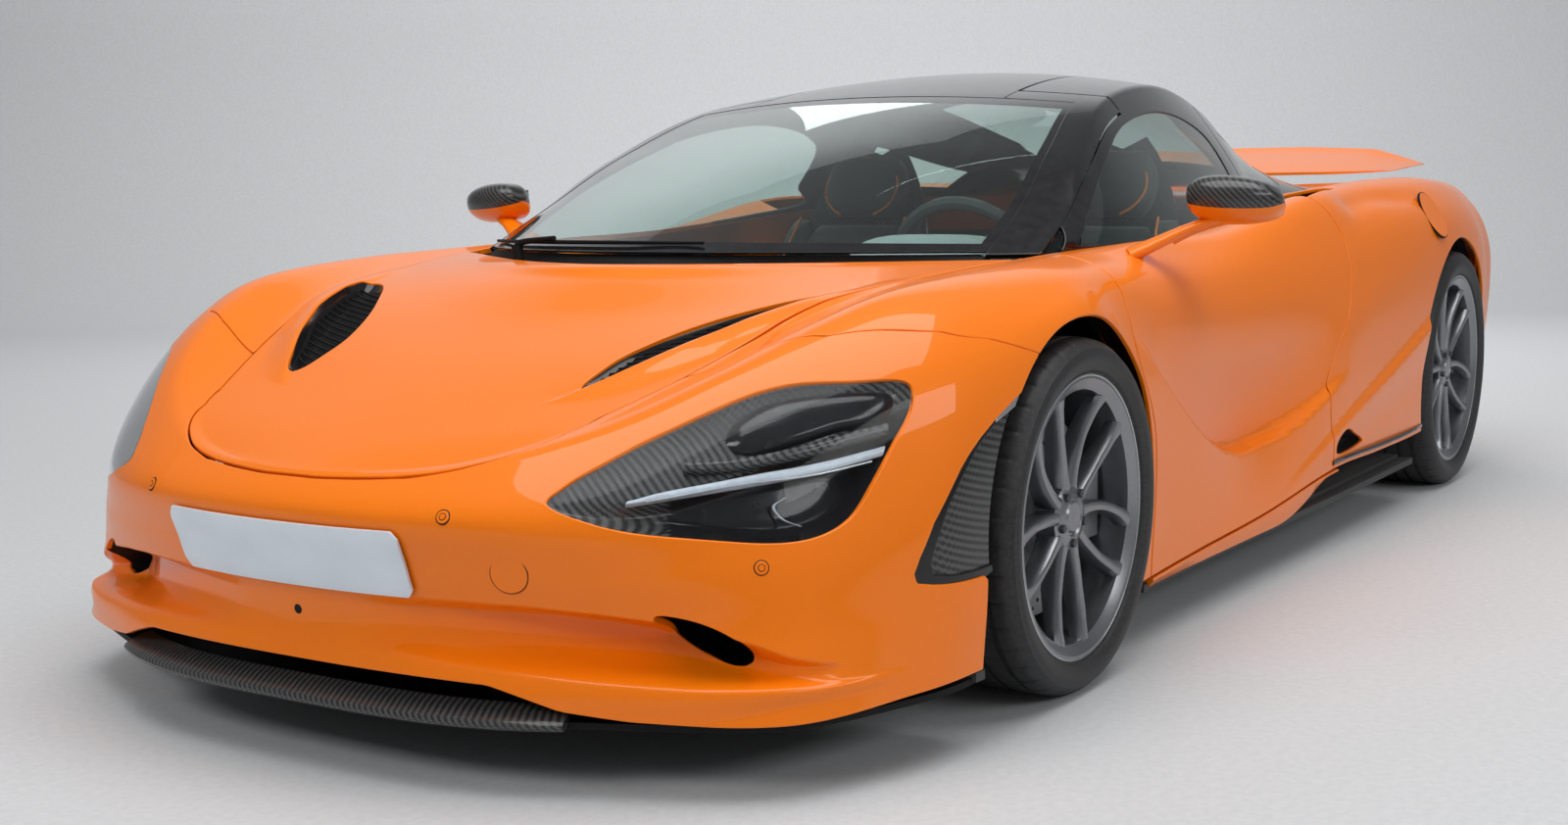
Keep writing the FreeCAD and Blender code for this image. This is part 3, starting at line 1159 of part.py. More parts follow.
def make_steering_wheel():
    """Rim, three spokes, boss and a short column, turned about the column's axis."""
    centre = Vector(WHEEL_X, SEAT_Y, WHEEL_Z)
    tilt = math.radians(COLUMN_TILT_DEG)
    axis = Vector(-math.cos(tilt), 0, math.sin(tilt))
    up = Vector(math.sin(tilt), 0, math.cos(tilt))
    across = Vector(0, 1, 0)
    section = [(WHEEL_RADIUS + p.x, p.z) for p in ring(Vector(), Vector(1, 0, 0), Vector(0, 0, 1),
                                                       WHEEL_GRIP, WHEEL_GRIP, 8, 1.0)]
    grip = faceted_ring(section, 0, 0, 0, 1, GRIP_FACETS)
    grip.Placement = FreeCAD.Placement(centre, FreeCAD.Rotation(across, axis))
    boss = Part.makeCylinder(58, 50, centre - axis * 45, axis)
    column = Part.makeCylinder(COLUMN_RADIUS, 95, centre - axis * 120, axis)
    spokes = []
    for direction in (across, across * -1, up * -1):
        side = direction.cross(axis)
        corners = [centre + direction * 30 - side * 26, centre + direction * 30 + side * 26,
                   centre + direction * (WHEEL_RADIUS - 4) + side * 16, centre + direction * (WHEEL_RADIUS - 4) - side * 16]
        spokes.append(prism([p - axis * 8 for p in corners], axis * 14))
    return grip.multiFuse([boss, column] + spokes)


def column_hole():
    """The hole in the dashboard for the steering column."""
    tilt = math.radians(COLUMN_TILT_DEG)
    axis = Vector(-math.cos(tilt), 0, math.sin(tilt))
    return Part.makeCylinder(COLUMN_RADIUS + RUNNING_FIT, 160, Vector(WHEEL_X, SEAT_Y, WHEEL_Z) - axis * 160, axis)


def build():
    corners = {
        "fl": (FRONT_AXLE_X, FRONT_TRACK / 2, FRONT_TYRE_RADIUS, FRONT_TYRE_WIDTH, FRONT_RIM_RADIUS, FRONT_DISC_RADIUS, 1),
        "rl": (REAR_AXLE_X, REAR_TRACK / 2, REAR_TYRE_RADIUS, REAR_TYRE_WIDTH, REAR_RIM_RADIUS, REAR_DISC_RADIUS, 1),
    }
    parts = {}
    for key, (x, y, radius, width, rim, disc, side) in corners.items():
        other = {"fl": "fr", "rl": "rr"}[key]
        parts["tyre_" + key] = make_tyre(x, y, radius, width, rim, side)
        parts["rim_" + key] = make_rim(x, y, radius, width, rim, side)
        parts["disc_" + key] = make_disc(x, y, radius, width, disc, side)
        parts["knuckle_" + key] = make_knuckle(x, y, radius, width, disc, side, True)
        for name in ("tyre_", "rim_", "disc_", "knuckle_"):
            parts[name + other] = mirrored(parts[name + key])
    rear_knuckles = [parts.pop("knuckle_rl"), parts.pop("knuckle_rr")]
    parts["front_bumper"] = make_front_bumper()
    parts["headlights"] = make_headlights()
    parts["bonnet"] = make_bonnet()
    parts["front_fenders"] = make_front_fenders()
    parts["door_l"] = make_door()
    parts["door_frame_l"] = make_door_frame()
    parts["door_glass_l"] = make_door_glass()
    parts["mirror_l"] = make_mirror(parts["door_l"])
    for name in ("door_", "door_frame_", "door_glass_", "mirror_"):
        parts[name + "r"] = mirrored(parts[name + "l"])
    parts["rear_quarters"] = make_rear_quarters()
    parts["rear_bumper"] = make_rear_bumper()
    parts["rear_deck"] = make_rear_deck(parts["rear_bumper"], parts["rear_quarters"])
    parts["tail_lamps"] = make_tail_lamps(parts["rear_bumper"])
    parts["exhaust"] = make_exhaust()
    parts["rear_wing"] = make_rear_wing()
    parts["splitter"] = make_front_splitter(parts["front_bumper"])
    parts["underfloor"] = Part.makeCompound([make_underfloor(), make_side_sills()])
    parts["diffuser"] = make_diffuser()
    parts["tub"] = make_tub()
    parts["roof_frame"] = make_roof_frame()
    parts["windscreen"] = make_windscreen()
    parts["rear_glass"] = make_rear_glass()
    parts["front_suspension"] = make_front_suspension()
    parts["rear_suspension"] = Part.makeCompound([make_rear_suspension()] + rear_knuckles)
    parts["engine"] = make_engine()
    parts["luggage_tub"] = make_luggage_tub()
    parts["seats"] = make_seats()
    parts["dashboard"] = make_dashboard()
    parts["steering_wheel"] = make_steering_wheel()
    return parts


def save():
    os.makedirs("parts", exist_ok=True)
    for name, shape in build().items():
        shape.exportStep("parts/" + name + ".step")


save()
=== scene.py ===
import json
import math
import bpy
import bmesh
import numpy as np
from mathutils import Matrix, Vector


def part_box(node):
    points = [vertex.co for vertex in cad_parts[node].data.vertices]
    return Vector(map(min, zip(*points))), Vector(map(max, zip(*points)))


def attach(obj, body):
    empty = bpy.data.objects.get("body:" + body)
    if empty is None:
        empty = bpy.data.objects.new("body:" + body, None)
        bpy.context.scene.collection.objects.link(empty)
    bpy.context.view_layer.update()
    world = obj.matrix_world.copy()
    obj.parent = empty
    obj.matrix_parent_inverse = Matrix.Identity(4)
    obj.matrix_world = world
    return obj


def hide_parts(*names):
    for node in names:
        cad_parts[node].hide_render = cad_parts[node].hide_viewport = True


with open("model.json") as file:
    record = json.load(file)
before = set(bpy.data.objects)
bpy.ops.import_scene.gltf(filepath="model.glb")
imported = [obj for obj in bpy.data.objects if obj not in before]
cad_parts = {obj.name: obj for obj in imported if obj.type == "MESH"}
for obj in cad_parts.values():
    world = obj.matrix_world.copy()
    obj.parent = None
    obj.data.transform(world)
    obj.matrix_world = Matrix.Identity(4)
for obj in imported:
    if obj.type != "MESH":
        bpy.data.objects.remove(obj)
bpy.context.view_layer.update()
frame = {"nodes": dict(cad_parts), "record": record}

# Two-seat mid-engined coupe. Metres, +X forward, +Y to the car's left, +Z up
FRONT_AXLE = 1.2245
WHEELBASE = 2.67
REAR_AXLE = FRONT_AXLE - WHEELBASE
FRONT_RADIUS = 0.327
REAR_RADIUS = 0.3455
# From the tyre's tread to the arch
ARCH_GAP = 0.042
# Rows behind the rear axle are drawn out by this to the real overhang
TAIL_STRETCH = 813 / 775
SHUT_GAP = 0.005
EDGE_RADIUS = 0.0025
# A panel's border: half the gap, and the rounded edge
BORDER = SHUT_GAP / 2 + EDGE_RADIUS

# Skins of body and canopy
# Left half, rows from nose to tail, x ahead of the front axle, in millimetres. Columns: centre line,
# bonnet edge or window base, ridge, upper side, widest line, waist, lower edge
BODY_ROWS = (
    ((1005, 0, 488), (1005, 0, 488), (1005, 0, 488), (1060, 0, 435), (1036, 0, 350), (1010, 0, 250),
     (1032, 0, 150)),
    ((975, 0, 498), (945, 250, 502), (965, 290, 495), (1023, 320, 435), (1003, 325, 350), (978, 325, 250),
     (1012, 330, 145)),
    ((900, 0, 525), (835, 400, 545), (835, 510, 550), (905, 575, 450), (900, 600, 350), (885, 610, 250),
     (915, 610, 128)),
    ((780, 0, 568), (670, 490, 605), (660, 650, 640), (715, 750, 530), (745, 790, 380), (760, 805, 250),
     (790, 820, 122)),
    ((610, 0, 628), (490, 555, 672), (480, 730, 715), (530, 840, 620), (555, 890, 450), (570, 905, 260),
     (580, 915, 132)),
    ((430, 0, 690), (310, 600, 722), (310, 770, 757), (345, 880, 690), (365, 937, 560), (385, 952, 300),
     (400, 950, 138)),
    ((270, 0, 755), (60, 645, 758), (0, 795, 778), (0, 900, 745), (0, 962, 655), (0, 965, 400),
     (0, 952, 140)),
    ((170, 0, 785), (-270, 715, 782), (-270, 800, 783), (-270, 892, 735), (-275, 936, 600),
     (-375, 936, 420), (-375, 930, 145)),
    ((-300, 0, 790), (-620, 765, 795), (-620, 805, 782), (-620, 880, 715), (-640, 912, 590),
     (-680, 922, 400), (-660, 930, 155)),
    ((-900, 0, 790), (-1050, 765, 802), (-1050, 830, 780), (-1050, 885, 705), (-1050, 912, 560),
     (-1050, 905, 400), (-1050, 938, 170)),
    ((-1500, 0, 800), (-1580, 690, 840), (-1620, 830, 870), (-1690, 905, 760), (-1640, 940, 600),
     (-1490, 945, 420), (-1510, 950, 205)),
    ((-1900, 0, 810), (-1950, 600, 860), (-1950, 800, 885), (-1950, 905, 800), (-1950, 950, 650),
     (-1930, 955, 450), (-1900, 953, 200)),
    ((-2250, 0, 830), (-2300, 560, 870), (-2300, 790, 900), (-2300, 910, 830), (-2300, 960, 700),
     (-2300, 962, 450), (-2300, 955, 200)),
    ((-2650, 0, 850), (-2670, 530, 870), (-2670, 790, 906), (-2670, 910, 840), (-2670, 963, 710),
     (-2670, 963, 450), (-2670, 950, 220)),
    ((-3040, 0, 860), (-3040, 480, 866), (-3030, 760, 895), (-3030, 880, 825), (-3030, 938, 690),
     (-3030, 943, 480), (-3030, 930, 300)),
    ((-3280, 0, 865), (-3270, 420, 868), (-3260, 690, 888), (-3285, 800, 810), (-3310, 850, 680),
     (-3310, 850, 500), (-3290, 830, 340)),
    ((-3350, 0, 868), (-3350, 250, 868), (-3365, 380, 880), (-3410, 420, 800), (-3430, 430, 680),
     (-3410, 430, 500), (-3360, 420, 340)),
    ((-3390, 0, 870), (-3390, 0, 870), (-3390, 0, 870), (-3425, 0, 800), (-3445, 0, 680), (-3420, 0, 500),
     (-3370, 0, 340)),
)
# Canopy rows: top centre, rail, and the body row under the window's base
CANOPY_ROWS = (
    ((172, 0, 788), (-300, 712, 782), 7.06),
    ((-150, 0, 915), (-480, 690, 870), 7.42),
    ((-500, 0, 1030), (-680, 640, 985), 8.07),
    ((-920, 0, 1137), (-980, 560, 1105), 8.89),
    ((-1370, 0, 1196), (-1400, 510, 1148), 9.66),
    ((-1800, 0, 1172), (-1800, 480, 1092), 10.58),
    ((-2250, 0, 1078), (-2200, 420, 990), 11.72),
    ((-2775, 0, 893), (-2765, 330, 890), 13.2),
)
ROW_LAST = len(BODY_ROWS) - 1
# Rows nearer a pole than this take its normal, because the columns close to a point at the nose and the tail
NOSE_POLE = 0.08
FLIP = np.array([1.0, -1.0, 1.0])


def placed(points):
    """Table rows in metres, with the tail drawn out."""
    p = np.array(points, float) / 1000
    x = p[..., 0]
    p[..., 0] = np.where(x > -WHEELBASE, FRONT_AXLE + x, REAR_AXLE + (x + WHEELBASE) * TAIL_STRETCH)
    return p


BODY = placed(BODY_ROWS)
CANOPY = placed([row[:2] for row in CANOPY_ROWS])
BASE_ROWS = np.array([row[2] for row in CANOPY_ROWS])[:, None]


def smooth_curve(a, b, c, d, f):
    """The point at share f between b and c on a smooth curve through all four."""
    return (b * 2 + (c - a) * f + (a * 2 - b * 5 + c * 4 - d) * f ** 2 + (b * 3 - a - c * 3 + d)
            * f ** 3) * 0.5


def along_rows(points, t, before, after):
    """Smooth values at t along rows of points, with one more row before and after them."""
    ring = np.concatenate([before[None], points, after[None]])
    i = np.clip(np.floor(t).astype(int), 0, len(points) - 2)
    f = (t - i).reshape((-1,) + (1,) * (points.ndim - 1))
    return smooth_curve(ring[i], ring[i + 1], ring[i + 2], ring[i + 3], f)


def extended(points, t):
    """The same, with both ends carried straight on."""
    return along_rows(points, t, 2 * points[0] - points[1], 2 * points[-1] - points[-2])


def body(u, v):
    """The body's skin at row u and column v; below 0, or with u past the tail, lies the right side."""
    u, v = np.broadcast_arrays(np.asarray(u, float), np.asarray(v, float))
    shape = u.shape
    u, v = u.ravel(), v.ravel()
    right = (v < 0) ^ (u < 0) ^ (u > ROW_LAST)
    u = np.abs(u)
    u = np.where(u > ROW_LAST, 2 * ROW_LAST - u, u)
    v = np.abs(v)
    columns = along_rows(BODY, u, BODY[1] * FLIP, BODY[-2] * FLIP)
    ring = np.concatenate([(columns[:, 1] * FLIP)[:, None], columns,
                           (2 * columns[:, -1] - columns[:, -2])[:, None]], axis=1)
    i = np.clip(np.floor(v).astype(int), 0, 5)
    k = np.arange(len(v))
    f = (v - i)[:, None]
    p = smooth_curve(ring[k, i], ring[k, i + 1], ring[k, i + 2], ring[k, i + 3], f)
    # The strip beside the bonnet's edge and the windows' base is narrow, so its slopes are held back
    chord = ring[k, i + 2] - ring[k, i + 1]
    width = np.linalg.norm(chord, axis=1, keepdims=True)
    leave, arrive = (ring[k, i + 2] - ring[k, i]) / 2, (ring[k, i + 3] - ring[k, i + 1]) / 2
    leave, arrive = [slope * np.minimum(1, 1.2 * width / np.maximum(np.linalg.norm(slope, axis=1,
            keepdims=True), 1e-9))
                     for slope in (leave, arrive)]
    held = ring[k, i + 1] + chord * (3 * f ** 2 - 2 * f ** 3)
    held = held + leave * (f ** 3 - 2 * f ** 2 + f) + arrive * (f ** 3 - f ** 2)
    p = np.where((i == 1)[:, None], held, p)
    p[right, 1] *= -1
    return p.reshape(shape + (3,))


def canopy(u, v):
    """The canopy's skin at row u and column v: 0 is the centre line, 1 the rail, 2 the windows' base."""
    u, v = np.broadcast_arrays(np.asarray(u, float), np.asarray(v, float))
    shape = u.shape
    u, v = u.ravel(), v.ravel()
    rows = extended(CANOPY, u)
    top, rail = rows[:, 0], rows[:, 1]
    foot = body(extended(BASE_ROWS, u)[:, 0], 1.0)
    share = np.abs(v)[:, None]
    crown = share ** 2
    roof = np.concatenate([top[:, :1] + (rail[:, :1] - top[:, :1]) * crown, rail[:, 1:2] * share,
                           top[:, 2:] + (rail[:, 2:] - top[:, 2:]) * crown], axis=1)
    down = share - 1
    side = rail + (foot - rail) * down + np.array([0, 0.012, 0]) * 4 * down * (1 - down)
    p = np.where(share <= 1, roof, side)
    p[v < 0, 1] *= -1
    return p.reshape(shape + (3,))


def table_value(pairs):
    """A function that runs straight from one (at, value) pair to the next."""
    xs, ys = zip(*pairs)
    return lambda x: np.interp(x, xs, ys)


def eased(x):
    """0 below 0, 1 above 1 and a smooth step between."""
    x = np.clip(x, 0, 1)
    return x * x * (3 - 2 * x)


def near_path(px, pz, path):
    """Signed height above a path of (x, z, ...) rows, and the row's values at the nearest x."""
    path = np.array(sorted(path))
    return pz - np.interp(px, path[:, 0], path[:, 1]), [np.interp(px, path[:, 0], path[:, k])
            for k in range(2, path.shape[1])]


# Hollow of the door above its crease: x, height of the crease, depth, height of the hollow
DOOR_CREASE = ((0.97, 0.640, 0.0, 0.10), (0.88, 0.600, 0.006, 0.12), (0.80, 0.548, 0.016, 0.16),
               (0.70, 0.486, 0.026, 0.20),
               (0.60, 0.430, 0.034, 0.24), (0.50, 0.382, 0.040, 0.28), (0.40, 0.348, 0.044, 0.31),
               (0.30, 0.328, 0.045, 0.33),
               (0.18, 0.322, 0.044, 0.33), (0.02, 0.337, 0.038, 0.32), (-0.10, 0.358, 0.030, 0.30),
               (-0.23, 0.392, 0.018, 0.26),
               (-0.32, 0.42, 0.006, 0.24), (-0.40, 0.44, 0.0, 0.22))
# Crease of the sill, from the rear arch down to the door's foot: x, height, step, reach below
SILL_CREASE = ((-1.10, 0.510, 0.010, 0.16), (-1.03, 0.491, 0.012, 0.15), (-0.74, 0.414, 0.012, 0.12),
               (-0.41, 0.334, 0.008, 0.10),
               (-0.09, 0.242, 0.003, 0.06), (0.05, 0.20, 0.0, 0.05))
# Scoop under the nose, from the plate out to the lower intake: y, upper edge, top of the lip, depth
SCOOP = ((0.0, 0.298, 0.214, 0.0), (0.14, 0.300, 0.214, 0.004), (0.25, 0.303, 0.211, 0.018),
         (0.35, 0.303, 0.206, 0.030), (0.45, 0.300, 0.200, 0.044),
         (0.55, 0.292, 0.194, 0.058), (0.62, 0.283, 0.190, 0.070), (0.69, 0.268, 0.186, 0.076),
         (0.76, 0.246, 0.183, 0.056), (0.81, 0.222, 0.180, 0.022),
         (0.86, 0.205, 0.176, 0.0))
# Outer edge of the bonnet's vents: row, column, height of the ridge beside it
VENT_RIDGE = ((2.9, 0.60, 0.0), (3.3, 0.68, 0.010), (3.8, 0.78, 0.018), (4.4, 0.86, 0.020),
              (5.0, 0.91, 0.016), (5.5, 0.93, 0.006), (6.0, 0.94, 0.0))


def carved(u, v, p):
    """How far the body's skin sinks in at each point, in metres; negative stands proud."""
    x, y, z = p[..., 0], np.abs(p[..., 1]), p[..., 2]
    u, v = np.abs(u), np.abs(v)
    sunk = np.zeros_like(x)
    above, (depth, height) = near_path(x, z, DOOR_CREASE)
    side = (y > 0.84) & (x < 1.0) & (x > -0.45)
    hollow = depth * eased(above / 0.026 + 0.5) * (1 - eased(above / height)) ** 0.9
    sunk += np.where(side, hollow, 0)
    below, (step, reach) = near_path(x, z, SILL_CREASE)
    side = (y > 0.84) & (x < 0.1) & (x > -1.12)
    sunk -= np.where(side, step * eased(-below / 0.030 + 0.5) * (1 - eased(-below / reach)), 0)
    table = np.array(SCOOP)
    edge, lip, depth = [np.interp(y, table[:, 0], table[:, k]) for k in (1, 2, 3)]
    share = (edge - z) / (edge - lip)
    profile = eased(share / 0.30) * (1 - eased((share - 0.55) / 0.60))
    proud = 0.010 * eased((y - 0.05) / 0.2) * eased((share - 0.80) / 0.35) * (1
            - eased((share - 1.2) / 0.6)) * (1 - eased((y - 0.80) / 0.12))
    sunk += np.where(x > 1.8, depth * profile - proud, 0)
    table = np.array(VENT_RIDGE)
    edge, height = np.interp(u, table[:, 0], table[:, 1]), np.interp(u, table[:, 0], table[:, 2])
    past = (v - edge) * 0.62
    sunk -= height * np.where(past > 0, 1 - eased(past / 0.14), 1 - eased(-past / 0.022))
    along = eased((u - 10.1) / 0.7) * (1 - eased((u - 11.6) / 1.2))
    sunk += 0.012 * along * np.exp(-((v - 2.5 - 0.25 * eased((u - 11.2) / 1.0)) / 0.28) ** 2)
    return sunk


def outward(skin, u, v, step=0.012):
    """The skin's outward normal."""
    u, v = np.broadcast_arrays(np.asarray(u, float), np.asarray(v, float))
    share = np.abs(v) - 1
    narrow = (np.minimum(np.abs(u),
                         np.abs(u - ROW_LAST)) < 0.5) & (share > 0) & (share < 1) & (skin is not canopy)
    if narrow.any():
        # The columns meet at a pole, so the strip between them takes its normals from both sides
        side = np.sign(v)
        inner = outward(skin, u, np.where(narrow, 0.96 * side, v))
        outer = outward(skin, u, np.where(narrow, 2.04 * side, v))
        mixed = inner + np.where(narrow, share, 0)[..., None] * (outer - inner)
        return mixed / np.linalg.norm(mixed, axis=-1, keepdims=True)
    nose = (np.abs(u) < NOSE_POLE) & (skin is not canopy)
    tail = (np.abs(u - ROW_LAST) < NOSE_POLE) & (skin is not canopy)
    row = np.where(nose, np.where(u < 0, -NOSE_POLE, NOSE_POLE), u)
    row = np.where(tail, np.where(u > ROW_LAST, ROW_LAST + NOSE_POLE, ROW_LAST - NOSE_POLE), row)
    along = skin(row + step, v) - skin(row - step, v)
    across = skin(row, v + step) - skin(row, v - step)
    normal = -np.cross(along, across)
    normal[..., 1] *= np.where(nose, np.abs(u) / NOSE_POLE, np.where(tail, np.abs(u - ROW_LAST) / NOSE_POLE,
            1))
    length = np.linalg.norm(normal, axis=-1, keepdims=True)
    return normal / np.maximum(length, 1e-12)


def carved_body(u, v):
    """The body's skin with its hollows, creases and ridges."""
    u, v = np.broadcast_arrays(np.asarray(u, float), np.asarray(v, float))
    p = body(u, v)
    sunk = carved(u, v, p)
    normal = outward(body, u, v)
    return p - normal * sunk[..., None]


# Materials
def principled(name, color, roughness, metallic=0.0, **sockets):
    """A new material with its nodes, links and shader; sockets are set by name, with _ for a space."""
    material = bpy.data.materials.new(name)
    material.use_nodes = True
    shader = material.node_tree.nodes["Principled BSDF"]
    shader.inputs["Base Color"].default_value = (*color, 1)
    shader.inputs["Roughness"].default_value = roughness
    shader.inputs["Metallic"].default_value = metallic
    for key, value in sockets.items():
        shader.inputs[key.replace("_", " ")].default_value = value
    return material, material.node_tree.nodes, material.node_tree.links, shader


def node(nodes, kind, **settings):
    """A new shader node; in_X sets its input X, other words its settings."""
    made = nodes.new("ShaderNode" + kind)
    for key, value in settings.items():
        if key.startswith("in_"):
            made.inputs[int(key[3:]) if key[3:].isdigit() else key[3:].replace("_",
                    " ")].default_value = value
        else:
            setattr(made, key, value)
    return made


def grain(nodes, links, scale, detail=2.0):
    place = node(nodes, "TexCoord")
    noise = node(nodes, "TexNoise", in_Scale=scale, in_Detail=detail)
    links.new(place.outputs["Object"], noise.inputs["Vector"])
    return noise


def ramp(nodes, links, source, stops):
    made = nodes.new("ShaderNodeValToRGB")
    elements = made.color_ramp.elements
    while len(elements) < len(stops):
        elements.new(0.5)
    for element, (at, color) in zip(elements, stops):
        element.position = at
        element.color = (*color, 1)
    links.new(source, made.inputs["Fac"])
    return made


def bump(nodes, links, shader, height, strength, distance):
    made = node(nodes, "Bump", in_Strength=strength, in_Distance=distance)
    links.new(height, made.inputs["Height"])
    links.new(made.outputs["Normal"], shader.inputs["Normal"])


def paint_material():
    """Solid orange with fine flake under a deep clear coat."""
    material, nodes, links, shader = principled("orange_paint", (0.93, 0.215, 0.003), 0.42, 0.0,
            Specular_IOR_Level=0.16, Coat_Weight=0.55, Coat_Roughness=0.03)
    flake = grain(nodes, links, 1800, 1)
    tint = ramp(nodes, links, flake.outputs["Fac"], ((0.35, (0.86, 0.170, 0.0005)),
            (0.7, (0.98, 0.225, 0.0015))))
    links.new(tint.outputs["Color"], shader.inputs["Base Color"])
    peel = grain(nodes, links, 160, 2)
    bump(nodes, links, shader, peel.outputs["Fac"], 0.02, 0.001)
    return material


def carbon_material(weave=0.0030, base=0.008, light=0.060):
    """Two-by-two twill from stepped stripes on object coordinates, under lacquer."""
    material, nodes, links, shader = principled("carbon", (0.03, 0.03, 0.032), 0.25, 0.0,
            Specular_IOR_Level=0.25, Coat_Weight=0.4, Coat_Roughness=0.04)
    place = node(nodes, "TexCoord")
    split = node(nodes, "SeparateXYZ")
    links.new(place.outputs["Object"], split.inputs[0])

    def math_node(kind, a, b=None, value=None):
        made = node(nodes, "Math", operation=kind)
        links.new(a, made.inputs[0])
        if b is not None:
            links.new(b, made.inputs[1])
        if value is not None:
            made.inputs[1].default_value = value
        return made.outputs[0]

    lean = math_node("MULTIPLY", split.outputs["X"], value=0.55)
    across = math_node("ADD", split.outputs["Y"], lean)
    up = math_node("SUBTRACT", split.outputs["Z"], math_node("MULTIPLY", split.outputs["X"], value=0.62))
    a = math_node("DIVIDE", across, value=weave)
    b = math_node("DIVIDE", up, value=weave)
    diagonal = math_node("ADD", math_node("FLOOR", a), math_node("FLOOR", b))
    over = math_node("LESS_THAN", math_node("PINGPONG", math_node("ADD", diagonal, value=0.5), value=2.0),
                     value=1.0)
    thread_a = math_node("PINGPONG", a, value=0.5)
    thread_b = math_node("PINGPONG", b, value=0.5)
    pick = node(nodes, "Mix", data_type="FLOAT")
    links.new(over, pick.inputs[0])
    links.new(thread_a, pick.inputs[2])
    links.new(thread_b, pick.inputs[3])
    shade = node(nodes, "Mix", data_type="FLOAT")
    links.new(over, shade.inputs[0])
    shade.inputs[2].default_value = base
    shade.inputs[3].default_value = light
    tone = math_node("ADD", math_node("MULTIPLY", pick.outputs[0], value=0.05), shade.outputs[0])
    combine = node(nodes, "CombineColor")
    for k in range(3):
        links.new(tone, combine.inputs[k])
    links.new(combine.outputs[0], shader.inputs["Base Color"])
    bump(nodes, links, shader, pick.outputs[0], 0.25, 0.0005)
    return material


def glass_material(name, tint, shadow, level=0.5, ior=1.45):
    """Clear or tinted glass that lets the lamps through."""
    material, nodes, links, shader = principled(name, tint, 0.0, 0.0, Transmission_Weight=1.0, IOR=ior,
            Specular_IOR_Level=level)
    path = node(nodes, "LightPath")
    clear = nodes.new("ShaderNodeBsdfTransparent")
    clear.inputs["Color"].default_value = (*shadow, 1)
    mix = nodes.new("ShaderNodeMixShader")
    links.new(path.outputs["Is Shadow Ray"], mix.inputs[0])
    links.new(shader.outputs[0], mix.inputs[1])
    links.new(clear.outputs[0], mix.inputs[2])
    links.new(mix.outputs[0], nodes["Material Output"].inputs["Surface"])
    return material


def grained_material(name, low, high, roughness, scale, metallic=0.0, height=0.0, **sockets):
    """A finish with fine colour variation and, if asked, a fine relief."""
    material, nodes, links, shader = principled(name, low, roughness, metallic, **sockets)
    noise = grain(nodes, links, scale, 4)
    tint = ramp(nodes, links, noise.outputs["Fac"], ((0.3, low), (0.7, high)))
    links.new(tint.outputs["Color"], shader.inputs["Base Color"])
    rough = node(nodes, "MapRange", in_3=roughness - 0.06, in_4=roughness + 0.06)
    links.new(noise.outputs["Fac"], rough.inputs[0])
    links.new(rough.outputs[0], shader.inputs["Roughness"])
    if height:
        bump(nodes, links, shader, noise.outputs["Fac"], 0.3, height)
    return material


def glowing_material(name, color, strength, roughness):
    """A lamp's inside that stays bright in shade; the red strips in the front arches use it too, as a painted glow.
    """
    material, nodes, links, shader = principled(name, color, roughness, 0.0)
    noise = grain(nodes, links, 90, 1)
    tint = ramp(nodes, links, noise.outputs["Fac"], ((0.2, tuple(c * 0.8 for c in color)), (0.8, color)))
    links.new(tint.outputs["Color"], shader.inputs["Base Color"])
    shader.inputs["Emission Color"].default_value = (*color, 1)
    shader.inputs["Emission Strength"].default_value = strength
    return material


PAINT = paint_material()
CARBON = carbon_material()
GLOSS_BLACK = grained_material("black_gloss", (0.006, 0.006, 0.007), (0.012, 0.012, 0.013), 0.14, 40,
                               Specular_IOR_Level=0.25, Coat_Weight=0.35, Coat_Roughness=0.02)
DARK = grained_material("dark_plastic", (0.006, 0.006, 0.007), (0.012, 0.012, 0.013), 0.6, 220,
                        height=0.0004, Specular_IOR_Level=0.15)
GLASS = glass_material("tinted_glass", (0.74, 0.86, 0.82), (0.72, 0.80, 0.77), 0.35)
LENS = glass_material("lamp_glass", (0.97, 0.985, 0.99), (0.95, 0.96, 0.97), 0.5, 1.16)
# The red strips in the front arches also take this glowing material, as painted light; they are no lamp.
RED = glowing_material("red_lamp", (0.55, 0.008, 0.006), 0.25, 0.12)
TYRE = grained_material("tyre", (0.018, 0.018, 0.019), (0.034, 0.034, 0.035), 0.5, 130, height=0.0005,
                        Specular_IOR_Level=0.35)
ALLOY = grained_material("dark_alloy", (0.23, 0.24, 0.25), (0.29, 0.30, 0.315), 0.30, 500, metallic=0.9,
                         height=0.0001)
BRAKE = grained_material("brake_steel", (0.16, 0.16, 0.165), (0.30, 0.30, 0.31), 0.42, 260, metallic=0.8,
                         height=0.0002)
BARE = grained_material("bare_alloy", (0.42, 0.43, 0.45), (0.55, 0.56, 0.58), 0.3, 120, metallic=0.9,
                        height=0.0002)
STEEL = grained_material("steel", (0.05, 0.05, 0.055), (0.09, 0.09, 0.095), 0.5, 90, metallic=0.5,
                         height=0.0004)
HIDE = grained_material("hide", (0.020, 0.021, 0.023), (0.040, 0.042, 0.045), 0.62, 700, height=0.0006,
                        Sheen_Weight=0.25)
PALE_HIDE = grained_material("pale_hide", (0.20, 0.225, 0.235), (0.28, 0.31, 0.32), 0.7, 700, height=0.0006,
                             Sheen_Weight=0.4)
PIPING = grained_material("orange_piping", (0.80, 0.17, 0.01), (0.95, 0.25, 0.02), 0.5, 300, height=0.0003)
PLATE = grained_material("plate_white", (0.66, 0.73, 0.80), (0.72, 0.79, 0.85), 0.32, 12, Coat_Weight=0.6,
                         Coat_Roughness=0.1)
LIGHT_BAR = glowing_material("light_bar", (0.42, 0.47, 0.53), 0.05, 0.2)
PIPE = grained_material("pipe_steel", (0.30, 0.29, 0.28), (0.42, 0.40, 0.38), 0.28, 60, metallic=0.95,
                        height=0.0002)
CALIPER = grained_material("caliper_black", (0.012, 0.012, 0.013), (0.022, 0.022, 0.023), 0.3, 80,
                           Coat_Weight=0.6, Coat_Roughness=0.1)

